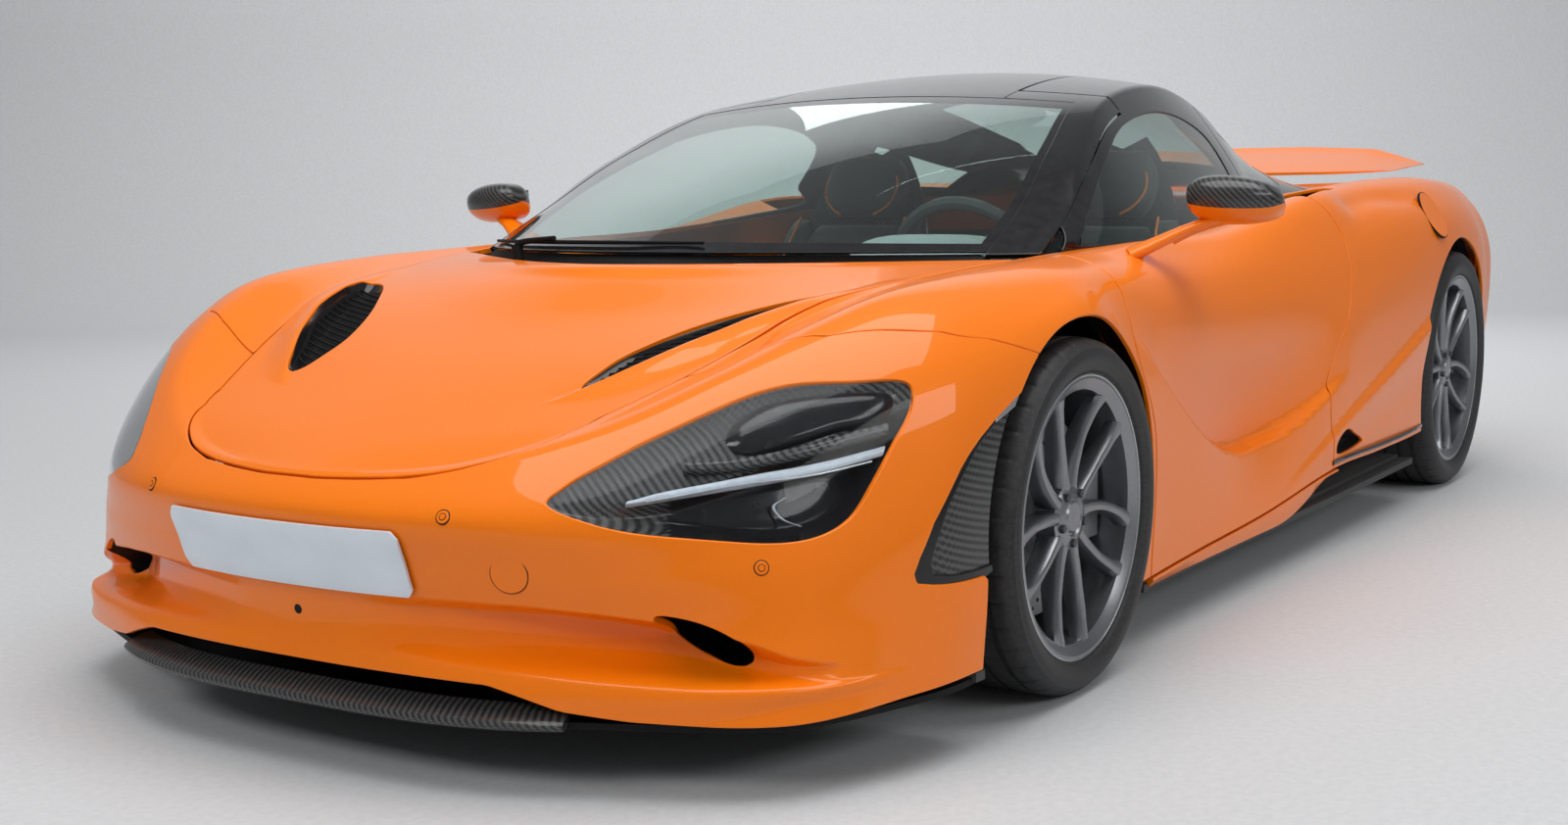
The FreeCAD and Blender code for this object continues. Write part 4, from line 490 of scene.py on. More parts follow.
SLOT_MATERIALS = {"orange_paint": PAINT, "carbon": CARBON, "black_gloss": GLOSS_BLACK, "dark_plastic": DARK,
                  "tinted_glass": GLASS, "lamp_glass": LENS, "red_lamp": RED, "tyre": TYRE,
                  "dark_alloy": ALLOY,
                  "brake_steel": BRAKE, "bare_alloy": BARE, "steel": STEEL, "hide": HIDE}


# Mesh making
def finished(name, vertices, faces, materials, body_name, replaced=(), face_material=None,
             normals=None, sharp=None):
    """A mesh object at the origin that rides on a body and may stand for CAD nodes."""
    mesh = bpy.data.meshes.new(name)
    mesh.from_pydata([tuple(map(float, v)) for v in vertices], [],
                     [tuple(int(i) for i in f) for f in faces])
    for material in (materials if isinstance(materials, (list, tuple)) else [materials]):
        mesh.materials.append(material)
    if face_material is not None:
        mesh.polygons.foreach_set("material_index", np.asarray(face_material, np.int32))
    mesh.polygons.foreach_set("use_smooth", np.ones(len(mesh.polygons), bool))
    if normals is not None:
        mesh.normals_split_custom_set_from_vertices([tuple(map(float, n)) for n in normals])
    elif sharp is not None:
        mesh.set_sharp_from_angle(angle=math.radians(sharp))
    mesh.update()
    made = bpy.data.objects.new(name, mesh)
    bpy.context.scene.collection.objects.link(made)
    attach(made, body_name)
    if replaced:
        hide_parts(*replaced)
    return made


def grid_faces(rows, columns, loop_rows=False, loop_columns=False):
    """Four-cornered faces of a grid of points, closed one way or both."""
    faces = []
    for i in range(rows if loop_rows else rows - 1):
        for j in range(columns if loop_columns else columns - 1):
            a, b = i * columns + j, i * columns + (j + 1) % columns
            c, d = ((i + 1) % rows) * columns + (j + 1) % columns, ((i + 1) % rows) * columns + j
            faces.append((a, b, c, d))
    return faces


def smooth_outline(points, per_span=6):
    """A closed smooth outline through points."""
    p = np.array(points, float)
    out = []
    for k in range(len(p)):
        a, b, c, d = p[k - 1], p[k], p[(k + 1) % len(p)], p[(k + 2) % len(p)]
        for f in np.arange(per_span) / per_span:
            out.append(smooth_curve(a, b, c, d, f))
    return np.array(out)


def outside_outline(outline):
    """Signed distance in (u, v) from a closed outline; positive outside."""
    a, b = outline, np.roll(outline, -1, axis=0)
    low, high = outline.min(0) - 0.25, outline.max(0) + 0.25

    def signed(u, v, p):
        out = np.ones(len(u))
        close = (u > low[0]) & (u < high[0]) & (v > low[1]) & (v < high[1])
        if close.any():
            out[close] = near(u[close], v[close])
        return out

    def near(u, v):
        q = np.stack([u, v], -1)[:, None]
        ab = (b - a)[None]
        t = np.clip(((q - a[None]) * ab).sum(-1) / np.maximum((ab ** 2).sum(-1), 1e-12), 0, 1)
        distance = np.linalg.norm(q - a[None] - ab * t[..., None], axis=-1).min(1)
        inside = np.zeros(len(u), bool)
        for (x1, y1), (x2, y2) in zip(a, b):
            crosses = (y1 > v) != (y2 > v)
            with np.errstate(divide="ignore", invalid="ignore"):
                inside ^= crosses & (u < (x2 - x1) * (v - y1) / (y2 - y1) + x1)
        return np.where(inside, -distance, distance)
    return signed


def outside_arch(axle_x, tyre_radius):
    return lambda u, v, p: np.hypot(p[:, 0] - axle_x, p[:, 2] - tyre_radius) - tyre_radius - ARCH_GAP


def clipped(uvs, faces, skin, keep):
    """Cuts the faces of a grid where keep(u, v, point) turns negative."""
    uv = np.array(uvs, float)
    plain = canopy if skin is canopy else body
    value = keep(uv[:, 0], uv[:, 1], plain(uv[:, 0], uv[:, 1]))
    made, kept = {}, []
    extra = []

    def crossing(i, j):
        key = (min(i, j), max(i, j))
        if key not in made:
            a, b = uv[key[0]], uv[key[1]]
            fa, fb = value[key[0]], value[key[1]]
            t = fa / (fa - fb)
            for _ in range(3):
                q = a + (b - a) * t
                f = keep(q[:1], q[1:], plain(q[:1], q[1:]))[0]
                if abs(f) < 1e-5:
                    break
                if (f > 0) == (fa > 0):
                    t += (1 - t) * f / (f - fb) if f != fb else 0
                else:
                    t -= t * f / (f - fa) if f != fa else 0
            made[key] = len(uv) + len(extra)
            extra.append(a + (b - a) * t)
        return made[key]

    for face in faces:
        signs = [value[i] >= 0 for i in face]
        if all(signs):
            kept.append(face)
        elif any(signs):
            corners = []
            for k, i in enumerate(face):
                j = face[(k + 1) % len(face)]
                if value[i] >= 0:
                    corners.append(i)
                if (value[i] >= 0) != (value[j] >= 0):
                    corners.append(crossing(i, j))
            if len(corners) > 2:
                kept.append(tuple(corners))
    return (np.concatenate([uv, np.array(extra)]) if extra else uv), kept


def shell(uvs, faces, skin, depth=0.010, radius=EDGE_RADIUS):
    """A thick panel with rounded borders from a grid on a skin: vertices, faces and normals."""
    u, v = uvs[:, 0], uvs[:, 1]
    points = skin(u, v)
    normals = outward(skin, u, v)
    # Corners that fall together become one
    rounded = np.round(points * 1e5).astype(int).tolist()
    index, remap, kept = {}, {}, []
    for i in sorted({i for face in faces for i in face}):
        key = tuple(rounded[i])
        if key not in index:
            index[key] = len(kept)
            kept.append(i)
        remap[i] = index[key]
    points, normals = points[kept], normals[kept]
    clean = []
    for face in faces:
        corners = []
        for i in face:
            j = remap[i]
            if not corners or (corners[-1] != j and corners[0] != j):
                corners.append(j)
        if len(corners) > 2:
            a, b, c = points[corners[0]], points[corners[1]], points[corners[-1]]
            if np.dot(np.cross(b - a, c - a), normals[corners[0]]) < 0:
                corners = corners[::-1]
            clean.append(tuple(corners))
    edges = {(i, j): True for face in clean for i, j in zip(face, face[1:] + face[:1])}
    border = [(i, j) for i, j in edges if (j, i) not in edges]
    side = {}
    for i, j in border:
        direction = points[j] - points[i]
        length = np.linalg.norm(direction)
        if length < 1e-9:
            continue
        for k in (i, j):
            out = np.cross(direction / length, normals[k])
            side.setdefault(k, []).append(out / max(np.linalg.norm(out), 1e-9))
    # The border is rounded over, with the corners drawn out to a mitre
    rim, out_vectors = {}, {}
    for k, vectors in side.items():
        mean = np.mean(vectors, axis=0)
        size = np.linalg.norm(mean)
        unit = mean / size if size > 1e-6 else vectors[0]
        out_vectors[k] = (unit, min(1 / max(size, 0.5), 1.6))
    n = len(points)
    all_points, all_normals = [points, points - normals * depth], [normals, -normals]
    extra_points, extra_normals = [], []
    for k, (unit, miter) in out_vectors.items():
        ids = []
        for angle in (30, 60, 90):
            s, c = math.sin(math.radians(angle)), math.cos(math.radians(angle))
            ids.append(2 * n + len(extra_points))
            extra_points.append(points[k] + unit * radius * s * miter - normals[k] * radius * (1 - c))
            extra_normals.append(unit * s + normals[k] * c)
        ids.append(2 * n + len(extra_points))
        extra_points.append(points[k] + unit * radius * miter - normals[k] * (depth - radius))
        extra_normals.append(unit)
        rim[k] = [k] + ids + [n + k]
    quads = []
    for i, j in border:
        if i in rim and j in rim:
            for a, b, c, d in zip(rim[i], rim[i][1:], rim[j][1:], rim[j]):
                quads.append((a, b, c, d))
    inner = [tuple(n + i for i in reversed(face)) for face in clean]
    if extra_points:
        all_points.append(np.array(extra_points))
        all_normals.append(np.array(extra_normals))
    return np.concatenate(all_points), clean + inner + quads, np.concatenate(all_normals)


def param_grid(s_values, t_values, to_uv):
    """A grid of (u, v) places and its faces."""
    s, t = np.meshgrid(s_values, t_values, indexing="ij")
    u, v = to_uv(s.ravel(), t.ravel())
    return np.stack([u, v], 1), grid_faces(len(s_values), len(t_values))


def drawn_in(skin, value, other, along_u, amount):
    """A limit moved by an amount in metres, measured on the skin."""
    if amount == 0:
        return value
    step = 0.01
    if along_u:
        span = skin(value + step, other) - skin(value - step, other)
    else:
        span = skin(other, value + step) - skin(other, value - step)
    return value + amount / np.maximum(np.linalg.norm(span, axis=-1) / (2 * step), 0.02)


def panel(name, skin, u_of, v_of, counts, material, body_name, replaced=(), cuts=(), both=False,
          depth=0.010,
          gaps=(BORDER, BORDER, BORDER, BORDER)):
    """A panel of a skin. u_of(v) and v_of(u) give its (low, high) limits.

    The gaps are at u low, u high, v low and v high.
    """
    plain = canopy if skin is canopy else body

    def to_uv(s, t):
        v = np.full_like(s, 3.0)
        u = np.zeros_like(s)
        for _ in range(3):
            u_low, u_high = u_of(v)
            low, high = drawn_in(plain, u_low, v, True, gaps[0]), drawn_in(plain, u_high, v, True, -gaps[1])
            u = low + (high - low) * s
            v_low, v_high = v_of(u)
            low, high = drawn_in(plain, v_low, u, False, gaps[2]), drawn_in(plain, v_high, u, False,
                    -gaps[3])
            v = low + (high - low) * t
        return u, v
    uvs, faces = param_grid(np.linspace(0, 1, counts[0]), np.linspace(0, 1, counts[1]), to_uv)
    for cut in cuts:
        uvs, faces = clipped(uvs, faces, skin, cut)
    vertices, faces, normals = shell(uvs, faces, skin, depth)
    if both:
        count = len(vertices)
        vertices = np.concatenate([vertices, vertices * FLIP])
        normals = np.concatenate([normals, normals * FLIP])
        faces = faces + [tuple(i + count for i in reversed(f)) for f in faces]
    return finished(name, vertices, faces, material, body_name, replaced,
                    normals=normals)


def constant(low, high):
    """Limits that are the same all along."""
    return lambda other: (np.full_like(other, low), np.full_like(other, high))


# Body panels
FRONT_ARCH = outside_arch(FRONT_AXLE, FRONT_RADIUS)
REAR_ARCH = outside_arch(REAR_AXLE, REAR_RADIUS)
# Edge of the bonnet, as the column for each row
BONNET_EDGE = table_value(((0, 2.20), (0.2, 2.20), (0.45, 2.12), (0.7, 2.02), (1.12, 1.80), (1.6, 1.42),
                           (2.1, 1.08), (2.5, 1.0), (7, 1.0)))
# Rear border of the bumper, as the row for each column: along fender, arch, louvre and trailing edge
BUMPER_END = table_value(((1.0, 3.28), (1.35, 3.38), (1.7, 3.50), (2.14, 3.74), (2.44, 4.20), (2.86, 4.81),
                          (3.29, 5.18), (3.7, 5.40),
                          (3.86, 5.50), (4.02, 5.50), (4.07, 5.20), (4.10, 5.03), (4.18, 4.72),
                          (4.37, 4.32), (4.55, 4.14), (4.66, 4.07),
                          (4.76, 4.10), (4.85, 4.35), (5.02, 4.97), (5.06, 5.0), (6.0, 5.0)))
FENDER_START = table_value(((1.0, 3.28), (1.35, 3.38), (1.7, 3.50), (2.14, 3.74), (2.44, 4.20),
                            (2.86, 4.81), (3.29, 5.18), (3.7, 5.40), (3.86, 5.50),
                            (4.1, 5.6), (6.0, 5.6)))
LAMP_OUTLINE = smooth_outline(((1.63, 2.77), (1.73, 2.56), (1.90, 2.41), (2.24, 2.27), (2.77, 2.29),
                               (3.20, 2.41), (3.73, 2.77), (4.12, 3.02),
                               (4.26, 3.20), (4.18, 3.40), (3.98, 3.54), (3.75, 3.73), (3.50, 3.93),
                               (3.20, 3.96), (2.84, 3.85), (2.38, 3.59),
                               (2.06, 3.35), (1.81, 3.06)))
INTAKE_OUTLINE = smooth_outline(((2.10, 4.62), (2.30, 4.68), (2.53, 4.88), (2.74, 5.16), (2.70, 5.30),
                                 (2.52, 5.28), (2.28, 5.12), (2.10, 4.88)))
VENT_OUTLINE = smooth_outline(((3.20, 0.66), (3.55, 0.73), (4.20, 0.84), (4.80, 0.89), (5.25, 0.92),
                               (5.42, 0.86), (5.30, 0.76), (4.75, 0.63),
                               (4.10, 0.56), (3.60, 0.57), (3.30, 0.60)), 5)
SILL_INTAKE = smooth_outline(((10.07, 5.70), (10.24, 5.60), (10.42, 5.70), (10.60, 5.82), (10.33, 5.88),
                              (10.07, 5.86)))
# Lower edge of the bumper's lip: over the splitter in the middle, down to the corners beside it
LIP_LOW = table_value(((0, 5.72), (1.2, 5.72), (1.6, 5.95), (2.0, 6.0), (7, 6.0)))
SHOULDER_MOUTH = 11.0
# Grille in the tail, across the middle row, and the slot of each rear lamp: rows and columns
TAIL_OPENING = smooth_outline(((15.36, 3.16), (15.6, 3.06), (16.2, 3.04), (17, 3.03), (17.8, 3.04),
                               (18.4, 3.06), (18.64, 3.16), (18.58, 3.6), (18.36, 4.25),
                               (18.1, 4.62), (17.6, 4.76), (17, 4.78), (16.4, 4.76), (15.9, 4.62),
                               (15.64, 4.25), (15.42, 3.6)))
LAMP_SLOT = (15.08, 16.34, 2.58, 2.86)


def within(low_u, high_u, low_v, high_v):
    """Cuts an opening between rows and columns."""
    return lambda u, v, p: np.maximum(np.maximum(low_u - u, u - high_u), np.maximum(low_v - v, v - high_v))


def outside_lamp_slot(u, v, p):
    return within(*LAMP_SLOT)(ROW_LAST - np.abs(ROW_LAST - u), v, p)


def either_side(outline, row_too=False):
    """Cuts an outline on the left, and mirrored on the right: over the centre line, or round the nose."""
    cut = outside_outline(outline)
    if row_too:
        return lambda u, v, p: cut(np.abs(u), v, p)
    return lambda u, v, p: cut(u, np.abs(v), p)


panel("bonnet_skin", carved_body, constant(0.0, 6.85), lambda u: (-BONNET_EDGE(u), BONNET_EDGE(u)),
      (110, 84), PAINT,
      "bonnet", ("bonnet",), (either_side(VENT_OUTLINE),), gaps=(0, BORDER, BORDER, BORDER))
panel("front_bumper_skin", carved_body, lambda v: (-BUMPER_END(v), BUMPER_END(v)),
      lambda u: (BONNET_EDGE(np.abs(u)), LIP_LOW(np.abs(u))), (200, 140), PAINT, "chassis",
      ("front_bumper",),
      (either_side(LAMP_OUTLINE, True), either_side(INTAKE_OUTLINE, True), FRONT_ARCH),
      gaps=(BORDER, BORDER, BORDER, EDGE_RADIUS), depth=0.012)
panel("front_fender_skin", carved_body, lambda v: (FENDER_START(v), np.full_like(v, 7.0)),
      constant(1.0, 6.0),
      (70, 90), PAINT, "chassis", ("front_fenders",), (FRONT_ARCH,), both=True,
      gaps=(BORDER, BORDER, BORDER, EDGE_RADIUS))
for tag, columns, body_name in (("l", (1.0, 6.0), "door_left"), ("r", (-6.0, -1.0), "door_right")):
    panel("door_%s_skin" % tag, carved_body, constant(7.0, 10.0), constant(*columns), (130, 105), PAINT,
          body_name,
          ("door_%s" % tag,), (FRONT_ARCH,), gaps=(BORDER, BORDER, EDGE_RADIUS, EDGE_RADIUS), depth=0.014)
panel("rear_quarter_skin", carved_body, constant(10.0, 15.0), constant(1.0, 6.0), (110, 90), PAINT,
      "chassis",
      ("rear_quarters",), (REAR_ARCH, outside_outline(SILL_INTAKE),
                           lambda u, v, p: np.maximum(u - SHOULDER_MOUTH, v - 2.0)), both=True,
      gaps=(BORDER, BORDER, BORDER, EDGE_RADIUS))
panel("rear_bumper_skin", carved_body, constant(15.0, 19.0), constant(1.0, 6.0), (110, 85), PAINT,
      "chassis",
      ("rear_bumper",), (outside_outline(TAIL_OPENING), outside_lamp_slot),
      gaps=(BORDER, BORDER, BORDER, EDGE_RADIUS),
      depth=0.012)
panel("rear_deck_skin", carved_body, constant(13.36, 17.0), constant(-1.0, 1.0), (60, 60), PAINT, "chassis",
      ("rear_deck",), gaps=(BORDER, 0, BORDER, BORDER))

# Canopy
ROOF_COLUMN = 0.62
PILLAR_COLUMN = 1.12
SCREEN_ROWS, SCREEN_COLUMN = (0.12, 2.86), 0.9
CANOPY_END = 7.0


def pane(name, u_range, v_range, counts, body_name, replaced=(), frit=(0, 0, 0, 0), inset=0.001,
         outline=None,
         both=False):
    """A pane of glass with a black printed border.

    frit gives the border's width in cells at u low, u high, v low and v high.
    """
    uvs, faces = param_grid(np.linspace(*u_range, counts[0]), np.linspace(*v_range, counts[1]), lambda s,
                            t: (s, t))
    kinds = []
    for i in range(counts[0] - 1):
        for j in range(counts[1] - 1):
            across = i < frit[0] or i >= counts[0] - 1 - frit[1]
            kinds.append(1 if across or j < frit[2] or j >= counts[1] - 1 - frit[3] else 0)
    if outline is not None:
        uvs, faces = clipped(uvs, faces, canopy, outline)
        kinds = [0] * len(faces)
    def sunk(u, v):
        return canopy(u, v) - outward(canopy, u, v) * inset

    vertices, shell_faces, shell_normals = shell(uvs, faces, sunk, 0.0045, 0.0008)
    count = len(faces)
    kinds = kinds + kinds + [1] * (len(shell_faces) - 2 * count)
    if both:
        size = len(vertices)
        vertices = np.concatenate([vertices, vertices * FLIP])
        shell_normals = np.concatenate([shell_normals, shell_normals * FLIP])
        shell_faces = shell_faces + [tuple(i + size for i in reversed(f)) for f in shell_faces]
        kinds = kinds + kinds
    return finished(name, vertices, shell_faces, [GLASS, GLOSS_BLACK], body_name, replaced,
                    kinds, normals=shell_normals)


def canopy_panel(name, rows, columns, counts, body_name="chassis", replaced=(), cuts=(), both=False,
                 gaps=(BORDER,) * 4):
    """A gloss black panel of the canopy."""
    panel(name, canopy, constant(*rows), constant(*columns), counts, GLOSS_BLACK, body_name, replaced, cuts,
          both,
          0.012, gaps)


pane("windscreen_glass", SCREEN_ROWS, (-SCREEN_COLUMN, SCREEN_COLUMN), (60, 70), "chassis", ("windscreen",),
     (3, 3, 1, 1))
# Pillars beside the screen, the roof's spine, and the header's corners
canopy_panel("pillar_skin", (0.06, 3.08), (SCREEN_COLUMN, PILLAR_COLUMN), (50, 8), both=True,
             gaps=(0, BORDER, 0.0012, BORDER))
canopy_panel("roof_skin", (2.86, 5.0), (-ROOF_COLUMN, ROOF_COLUMN), (50, 40), replaced=("roof_frame",),
             gaps=(0.0012, 0.0012, BORDER, BORDER))
canopy_panel("header_skin", (2.86, 3.08), (ROOF_COLUMN, SCREEN_COLUMN), (8, 8), both=True,
             gaps=(0.0012, BORDER, 0, 0))
WINDOW_OUTLINE = smooth_outline(((1.25, 1.97), (1.22, 1.60), (1.40, 1.42), (1.9, 1.28), (2.5, 1.21),
                                 (3.1, 1.18),
                                 (3.7, 1.19), (4.2, 1.28), (4.42, 1.42), (4.40, 1.75), (4.30, 1.97)), 6)
around_window = either_side(WINDOW_OUTLINE)
for tag, side, body_name in (("l", 1, "door_left"), ("r", -1, "door_right")):
    canopy_panel("door_%s_frame_skin" % tag, (0.70, 4.75), (ROOF_COLUMN, 2.0)
                 if side > 0 else (-2.0, -ROOF_COLUMN),
                 (90, 60), body_name, ("door_frame_%s" % tag,),
                 (around_window, lambda u, v, p: np.maximum(u - 3.094, np.abs(v) - PILLAR_COLUMN - 0.014)),
                 gaps=(BORDER, BORDER, BORDER, EDGE_RADIUS) if side > 0 else (BORDER, BORDER, EDGE_RADIUS,
                         BORDER))
    pane("door_%s_glass" % tag, (1.15, 4.48), (1.10, 1.995) if side > 0 else (-1.995, -1.10), (50, 30),
         body_name,
         ("door_glass_%s" % tag,), outline=lambda u, v, p: -around_window(u, v, p), inset=0.002)
# Rear of the canopy: side panels with quarter windows, and the rear window
canopy_panel("canopy_side_skin", (4.75, CANOPY_END), (ROOF_COLUMN, 2.0), (50, 40),
             cuts=(within(5.0, 6.2, 1.22, 1.8), lambda u, v, p: np.maximum(np.maximum(5.0 - u, u - 6.7),
                     v - 0.75)),
             both=True, gaps=(BORDER, 0.002, BORDER, 0.001))
canopy_panel("canopy_tail_skin", (6.7, CANOPY_END), (-0.75, 0.75), (8, 30), gaps=(0.001, 0.002, 0, 0))
pane("rear_window_glass", (5.0, 6.7), (-0.75, 0.75), (40, 40), "chassis", ("rear_glass",), (2, 2, 2, 2))
pane("quarter_glass", (5.0, 6.2), (1.22, 1.8), (24, 14), "chassis", (), (1, 1, 1, 1), both=True)

# Small makers
def solid(name, pieces, body_name, replaced=(), sharp=38, bevel=0.0):
    """One object from closed (vertices, faces, material) pieces, merged and turned outwards."""
    materials, vertices, faces, kinds, count = [], [], [], [], 0
    for piece_vertices, piece_faces, material in pieces:
        if material not in materials:
            materials.append(material)
        piece_vertices = np.asarray(piece_vertices, float).reshape(-1, 3)
        vertices.append(piece_vertices)
        faces += [tuple(int(i) + count for i in face) for face in piece_faces]
        kinds += [materials.index(material)] * len(piece_faces)
        count += len(piece_vertices)
    mesh = bpy.data.meshes.new(name)
    mesh.from_pydata(np.concatenate(vertices).tolist(), [], faces)
    mesh.polygons.foreach_set("material_index", np.array(kinds, np.int32))
    whole = bmesh.new()
    whole.from_mesh(mesh)
    bmesh.ops.remove_doubles(whole, verts=whole.verts, dist=1e-5)
    bmesh.ops.recalc_face_normals(whole, faces=whole.faces)
    whole.to_mesh(mesh)
    whole.free()
    for material in materials:
        mesh.materials.append(material)
    made = bpy.data.objects.new(name, mesh)
    bpy.context.scene.collection.objects.link(made)
    if bevel:
        modifier = made.modifiers.new("edge", "BEVEL")
        modifier.width = bevel
        modifier.segments = 2
        modifier.limit_method = "ANGLE"
        modifier.angle_limit = math.radians(35)
        mesh = bpy.data.meshes.new_from_object(made.evaluated_get(bpy.context.evaluated_depsgraph_get()))
        made.modifiers.clear()
        made.data = mesh
        mesh.name = name
    mesh.polygons.foreach_set("use_smooth", [True] * len(mesh.polygons))
    mesh.set_sharp_from_angle(angle=math.radians(sharp))
    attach(made, body_name)
    if replaced:
        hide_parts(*replaced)
    return made


def box_piece(low, high, material):
    (a, b, c), (d, e, f) = low, high
    v = [(a, b, c), (d, b, c), (d, e, c), (a, e, c), (a, b, f), (d, b, f), (d, e, f), (a, e, f)]
    return v, [(0, 3, 2, 1), (4, 5, 6, 7), (0, 1, 5, 4), (1, 2, 6, 5), (2, 3, 7, 6), (3, 0, 4, 7)], material


def lofted(rings, material, closed=False):
    """A closed solid through rings of equal count; the ends get a cap each."""
    rings = [np.asarray(ring, float) for ring in rings]
    count = len(rings[0])
    vertices = list(np.concatenate(rings))
    faces = grid_faces(len(rings), count, loop_rows=closed, loop_columns=True)
    if not closed:
        for k, ring in ((0, rings[0]), (len(rings) - 1, rings[-1])):
            vertices.append(ring.mean(0))
            centre = len(vertices) - 1
            faces += [(k * count + j, k * count + (j + 1) % count, centre) for j in range(count)]
    return vertices, faces, material


def tube(points, radius, material, sides=10, flat=1.0, up=(0, 0, 1)):
    """A round or flattened bar along a smooth path; radius may be one number or one for each point."""
    path = np.array(points, float)
    if len(path) > 2:
        t = np.linspace(0, len(path) - 1, (len(path) - 1) * 8 + 1)
        fine = extended(path, t)
        radii = np.interp(t, np.arange(len(path)), np.broadcast_to(radius, len(path)))
    else:
        fine, radii = path, np.broadcast_to(radius, 2)
    rings = []
    tangent = np.gradient(fine, axis=0)
    for p, d, r in zip(fine, tangent, radii):
        d = d / max(np.linalg.norm(d), 1e-9)
        side = np.cross(d, up)
        side = side / max(np.linalg.norm(side), 1e-9)
        over = np.cross(side, d)
        rings.append([p + side * r * math.cos(a) + over * r * flat * math.sin(a)
                      for a in np.arange(sides) * 2 * math.pi / sides])
    return lofted(rings, material)


def both(pieces):
    """The same pieces on both sides."""
    return pieces + [(np.asarray(v, float) * FLIP, f, m) for v, f, m in pieces]


def skin_bowl(outline, centre, depth_at, kind_at=None, rings=16, back=0.004):
    """A closed bowl in the body's skin inside a (u, v) outline.

    depth_at and kind_at give its depth and material index from the share of the way out and the place.
    """
    outline, centre = np.asarray(outline, float), np.asarray(centre, float)
    count = len(outline)
    shares = np.sin(np.linspace(0, math.pi / 2, rings))
    uv = centre + (outline[None] - centre) * shares[:, None, None]
    share = shares[:, None] * np.ones(count)
    normal = outward(body, uv[..., 0], uv[..., 1])
    front = carved_body(uv[..., 0], uv[..., 1]) - normal * np.asarray(depth_at(share, uv))[..., None]
    vertices = np.concatenate([front.reshape(-1, 3), (front - normal * back).reshape(-1, 3)])
    kind = kind_at(share, uv) if kind_at else np.zeros(share.shape, int)
    size = rings * count
    faces, kinds = [], []
    for face in grid_faces(rings, count, loop_columns=True):
        faces += [tuple(reversed(face)), tuple(size + k for k in face)]
        kinds += [int(kind[min(face[0] // count + 1, rings - 1), face[0] % count])] * 2
    for j in range(count):
        a, b = size - count + j, size - count + (j + 1) % count
        faces.append((a, b, b + size, a + size))
        kinds.append(int(kind[-1, j]))
    return vertices, faces, kinds


def bowl_object(name, bowl, materials, body_name, replaced=(), both_sides=True):
    vertices, faces, kinds = bowl
    if both_sides:
        faces = faces + [tuple(i + len(vertices) for i in reversed(face)) for face in faces]
        kinds = kinds * 2
        vertices = np.concatenate([vertices, vertices * FLIP])
    return finished(name, vertices, faces, materials, body_name, replaced, kinds, sharp=40)


def scattered(name, places, axes, sizes, one_form, material, body_name, sharp=None):
    """One small form at each place, facing along its axis: Geometry Nodes, made a plain mesh."""
    mesh = bpy.data.meshes.new(name)
    mesh.from_pydata([tuple(map(float, p)) for p in places], [], [])
    axis = mesh.attributes.new("axis", "FLOAT_VECTOR", "POINT")
    axis.data.foreach_set("vector", np.asarray(axes, np.float32).ravel())
    made = bpy.data.objects.new(name, mesh)
    bpy.context.scene.collection.objects.link(made)
    tree = bpy.data.node_groups.new(name + "_tree", "GeometryNodeTree")
    tree.interface.new_socket("Geometry", in_out="INPUT", socket_type="NodeSocketGeometry")
    tree.interface.new_socket("Geometry", in_out="OUTPUT", socket_type="NodeSocketGeometry")
    sockets = {}
    for label, value in sizes.items():
        kind = "NodeSocketInt" if isinstance(value, int) else "NodeSocketFloat"
        sockets[label] = tree.interface.new_socket(label, in_out="INPUT", socket_type=kind)
    nodes, links = tree.nodes, tree.links
    start, end = nodes.new("NodeGroupInput"), nodes.new("NodeGroupOutput")
    read = nodes.new("GeometryNodeInputNamedAttribute")
    read.data_type = "FLOAT_VECTOR"
    read.inputs["Name"].default_value = "axis"
    turn = nodes.new("FunctionNodeAlignEulerToVector")
    turn.axis = "Z"
    links.new(read.outputs["Attribute"], turn.inputs["Vector"])
    spread = nodes.new("GeometryNodeInstanceOnPoints")
    links.new(start.outputs["Geometry"], spread.inputs["Points"])
    links.new(one_form(nodes, links, start.outputs), spread.inputs["Instance"])
    links.new(turn.outputs["Rotation"], spread.inputs["Rotation"])
    real = nodes.new("GeometryNodeRealizeInstances")
    links.new(spread.outputs["Instances"], real.inputs["Geometry"])
    finish = nodes.new("GeometryNodeSetMaterial")
    finish.inputs["Material"].default_value = material
    links.new(real.outputs["Geometry"], finish.inputs["Geometry"])
    links.new(finish.outputs["Geometry"], end.inputs["Geometry"])
    modifier = made.modifiers.new(name, "NODES")
    modifier.node_group = tree
    for label, value in sizes.items():
        modifier[sockets[label].identifier] = value
    plain = bpy.data.meshes.new_from_object(made.evaluated_get(bpy.context.evaluated_depsgraph_get()))
    made.modifiers.clear()
    made.data = plain
    if sharp is not None:
        plain.set_sharp_from_angle(angle=math.radians(sharp))
    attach(made, body_name)
    return made


def round_head(nodes, links, sizes):
    """A bolt head, or a flat disc that paints the shade of a drilled hole."""
    head = nodes.new("GeometryNodeMeshCylinder")
    links.new(sizes["Head Radius"], head.inputs["Radius"])
    links.new(sizes["Head Height"], head.inputs["Depth"])
    links.new(sizes["Head Sides"], head.inputs["Vertices"])
    return head.outputs["Mesh"]


def wire_cell(nodes, links, sizes):
    """A six-sided cell of wire."""
    cell, wire_end = [nodes.new("GeometryNodeCurvePrimitiveCircle") for _ in range(2)]
    cell.inputs["Resolution"].default_value = 6
    wire_end.inputs["Resolution"].default_value = 4
    links.new(sizes["Cell Radius"], cell.inputs["Radius"])
    links.new(sizes["Wire Radius"], wire_end.inputs["Radius"])
    bar = nodes.new("GeometryNodeCurveToMesh")
    links.new(cell.outputs["Curve"], bar.inputs["Curve"])
    links.new(wire_end.outputs["Curve"], bar.inputs["Profile Curve"])
    return bar.outputs["Mesh"]


# Wheels
SPOKE_PAIRS = 5


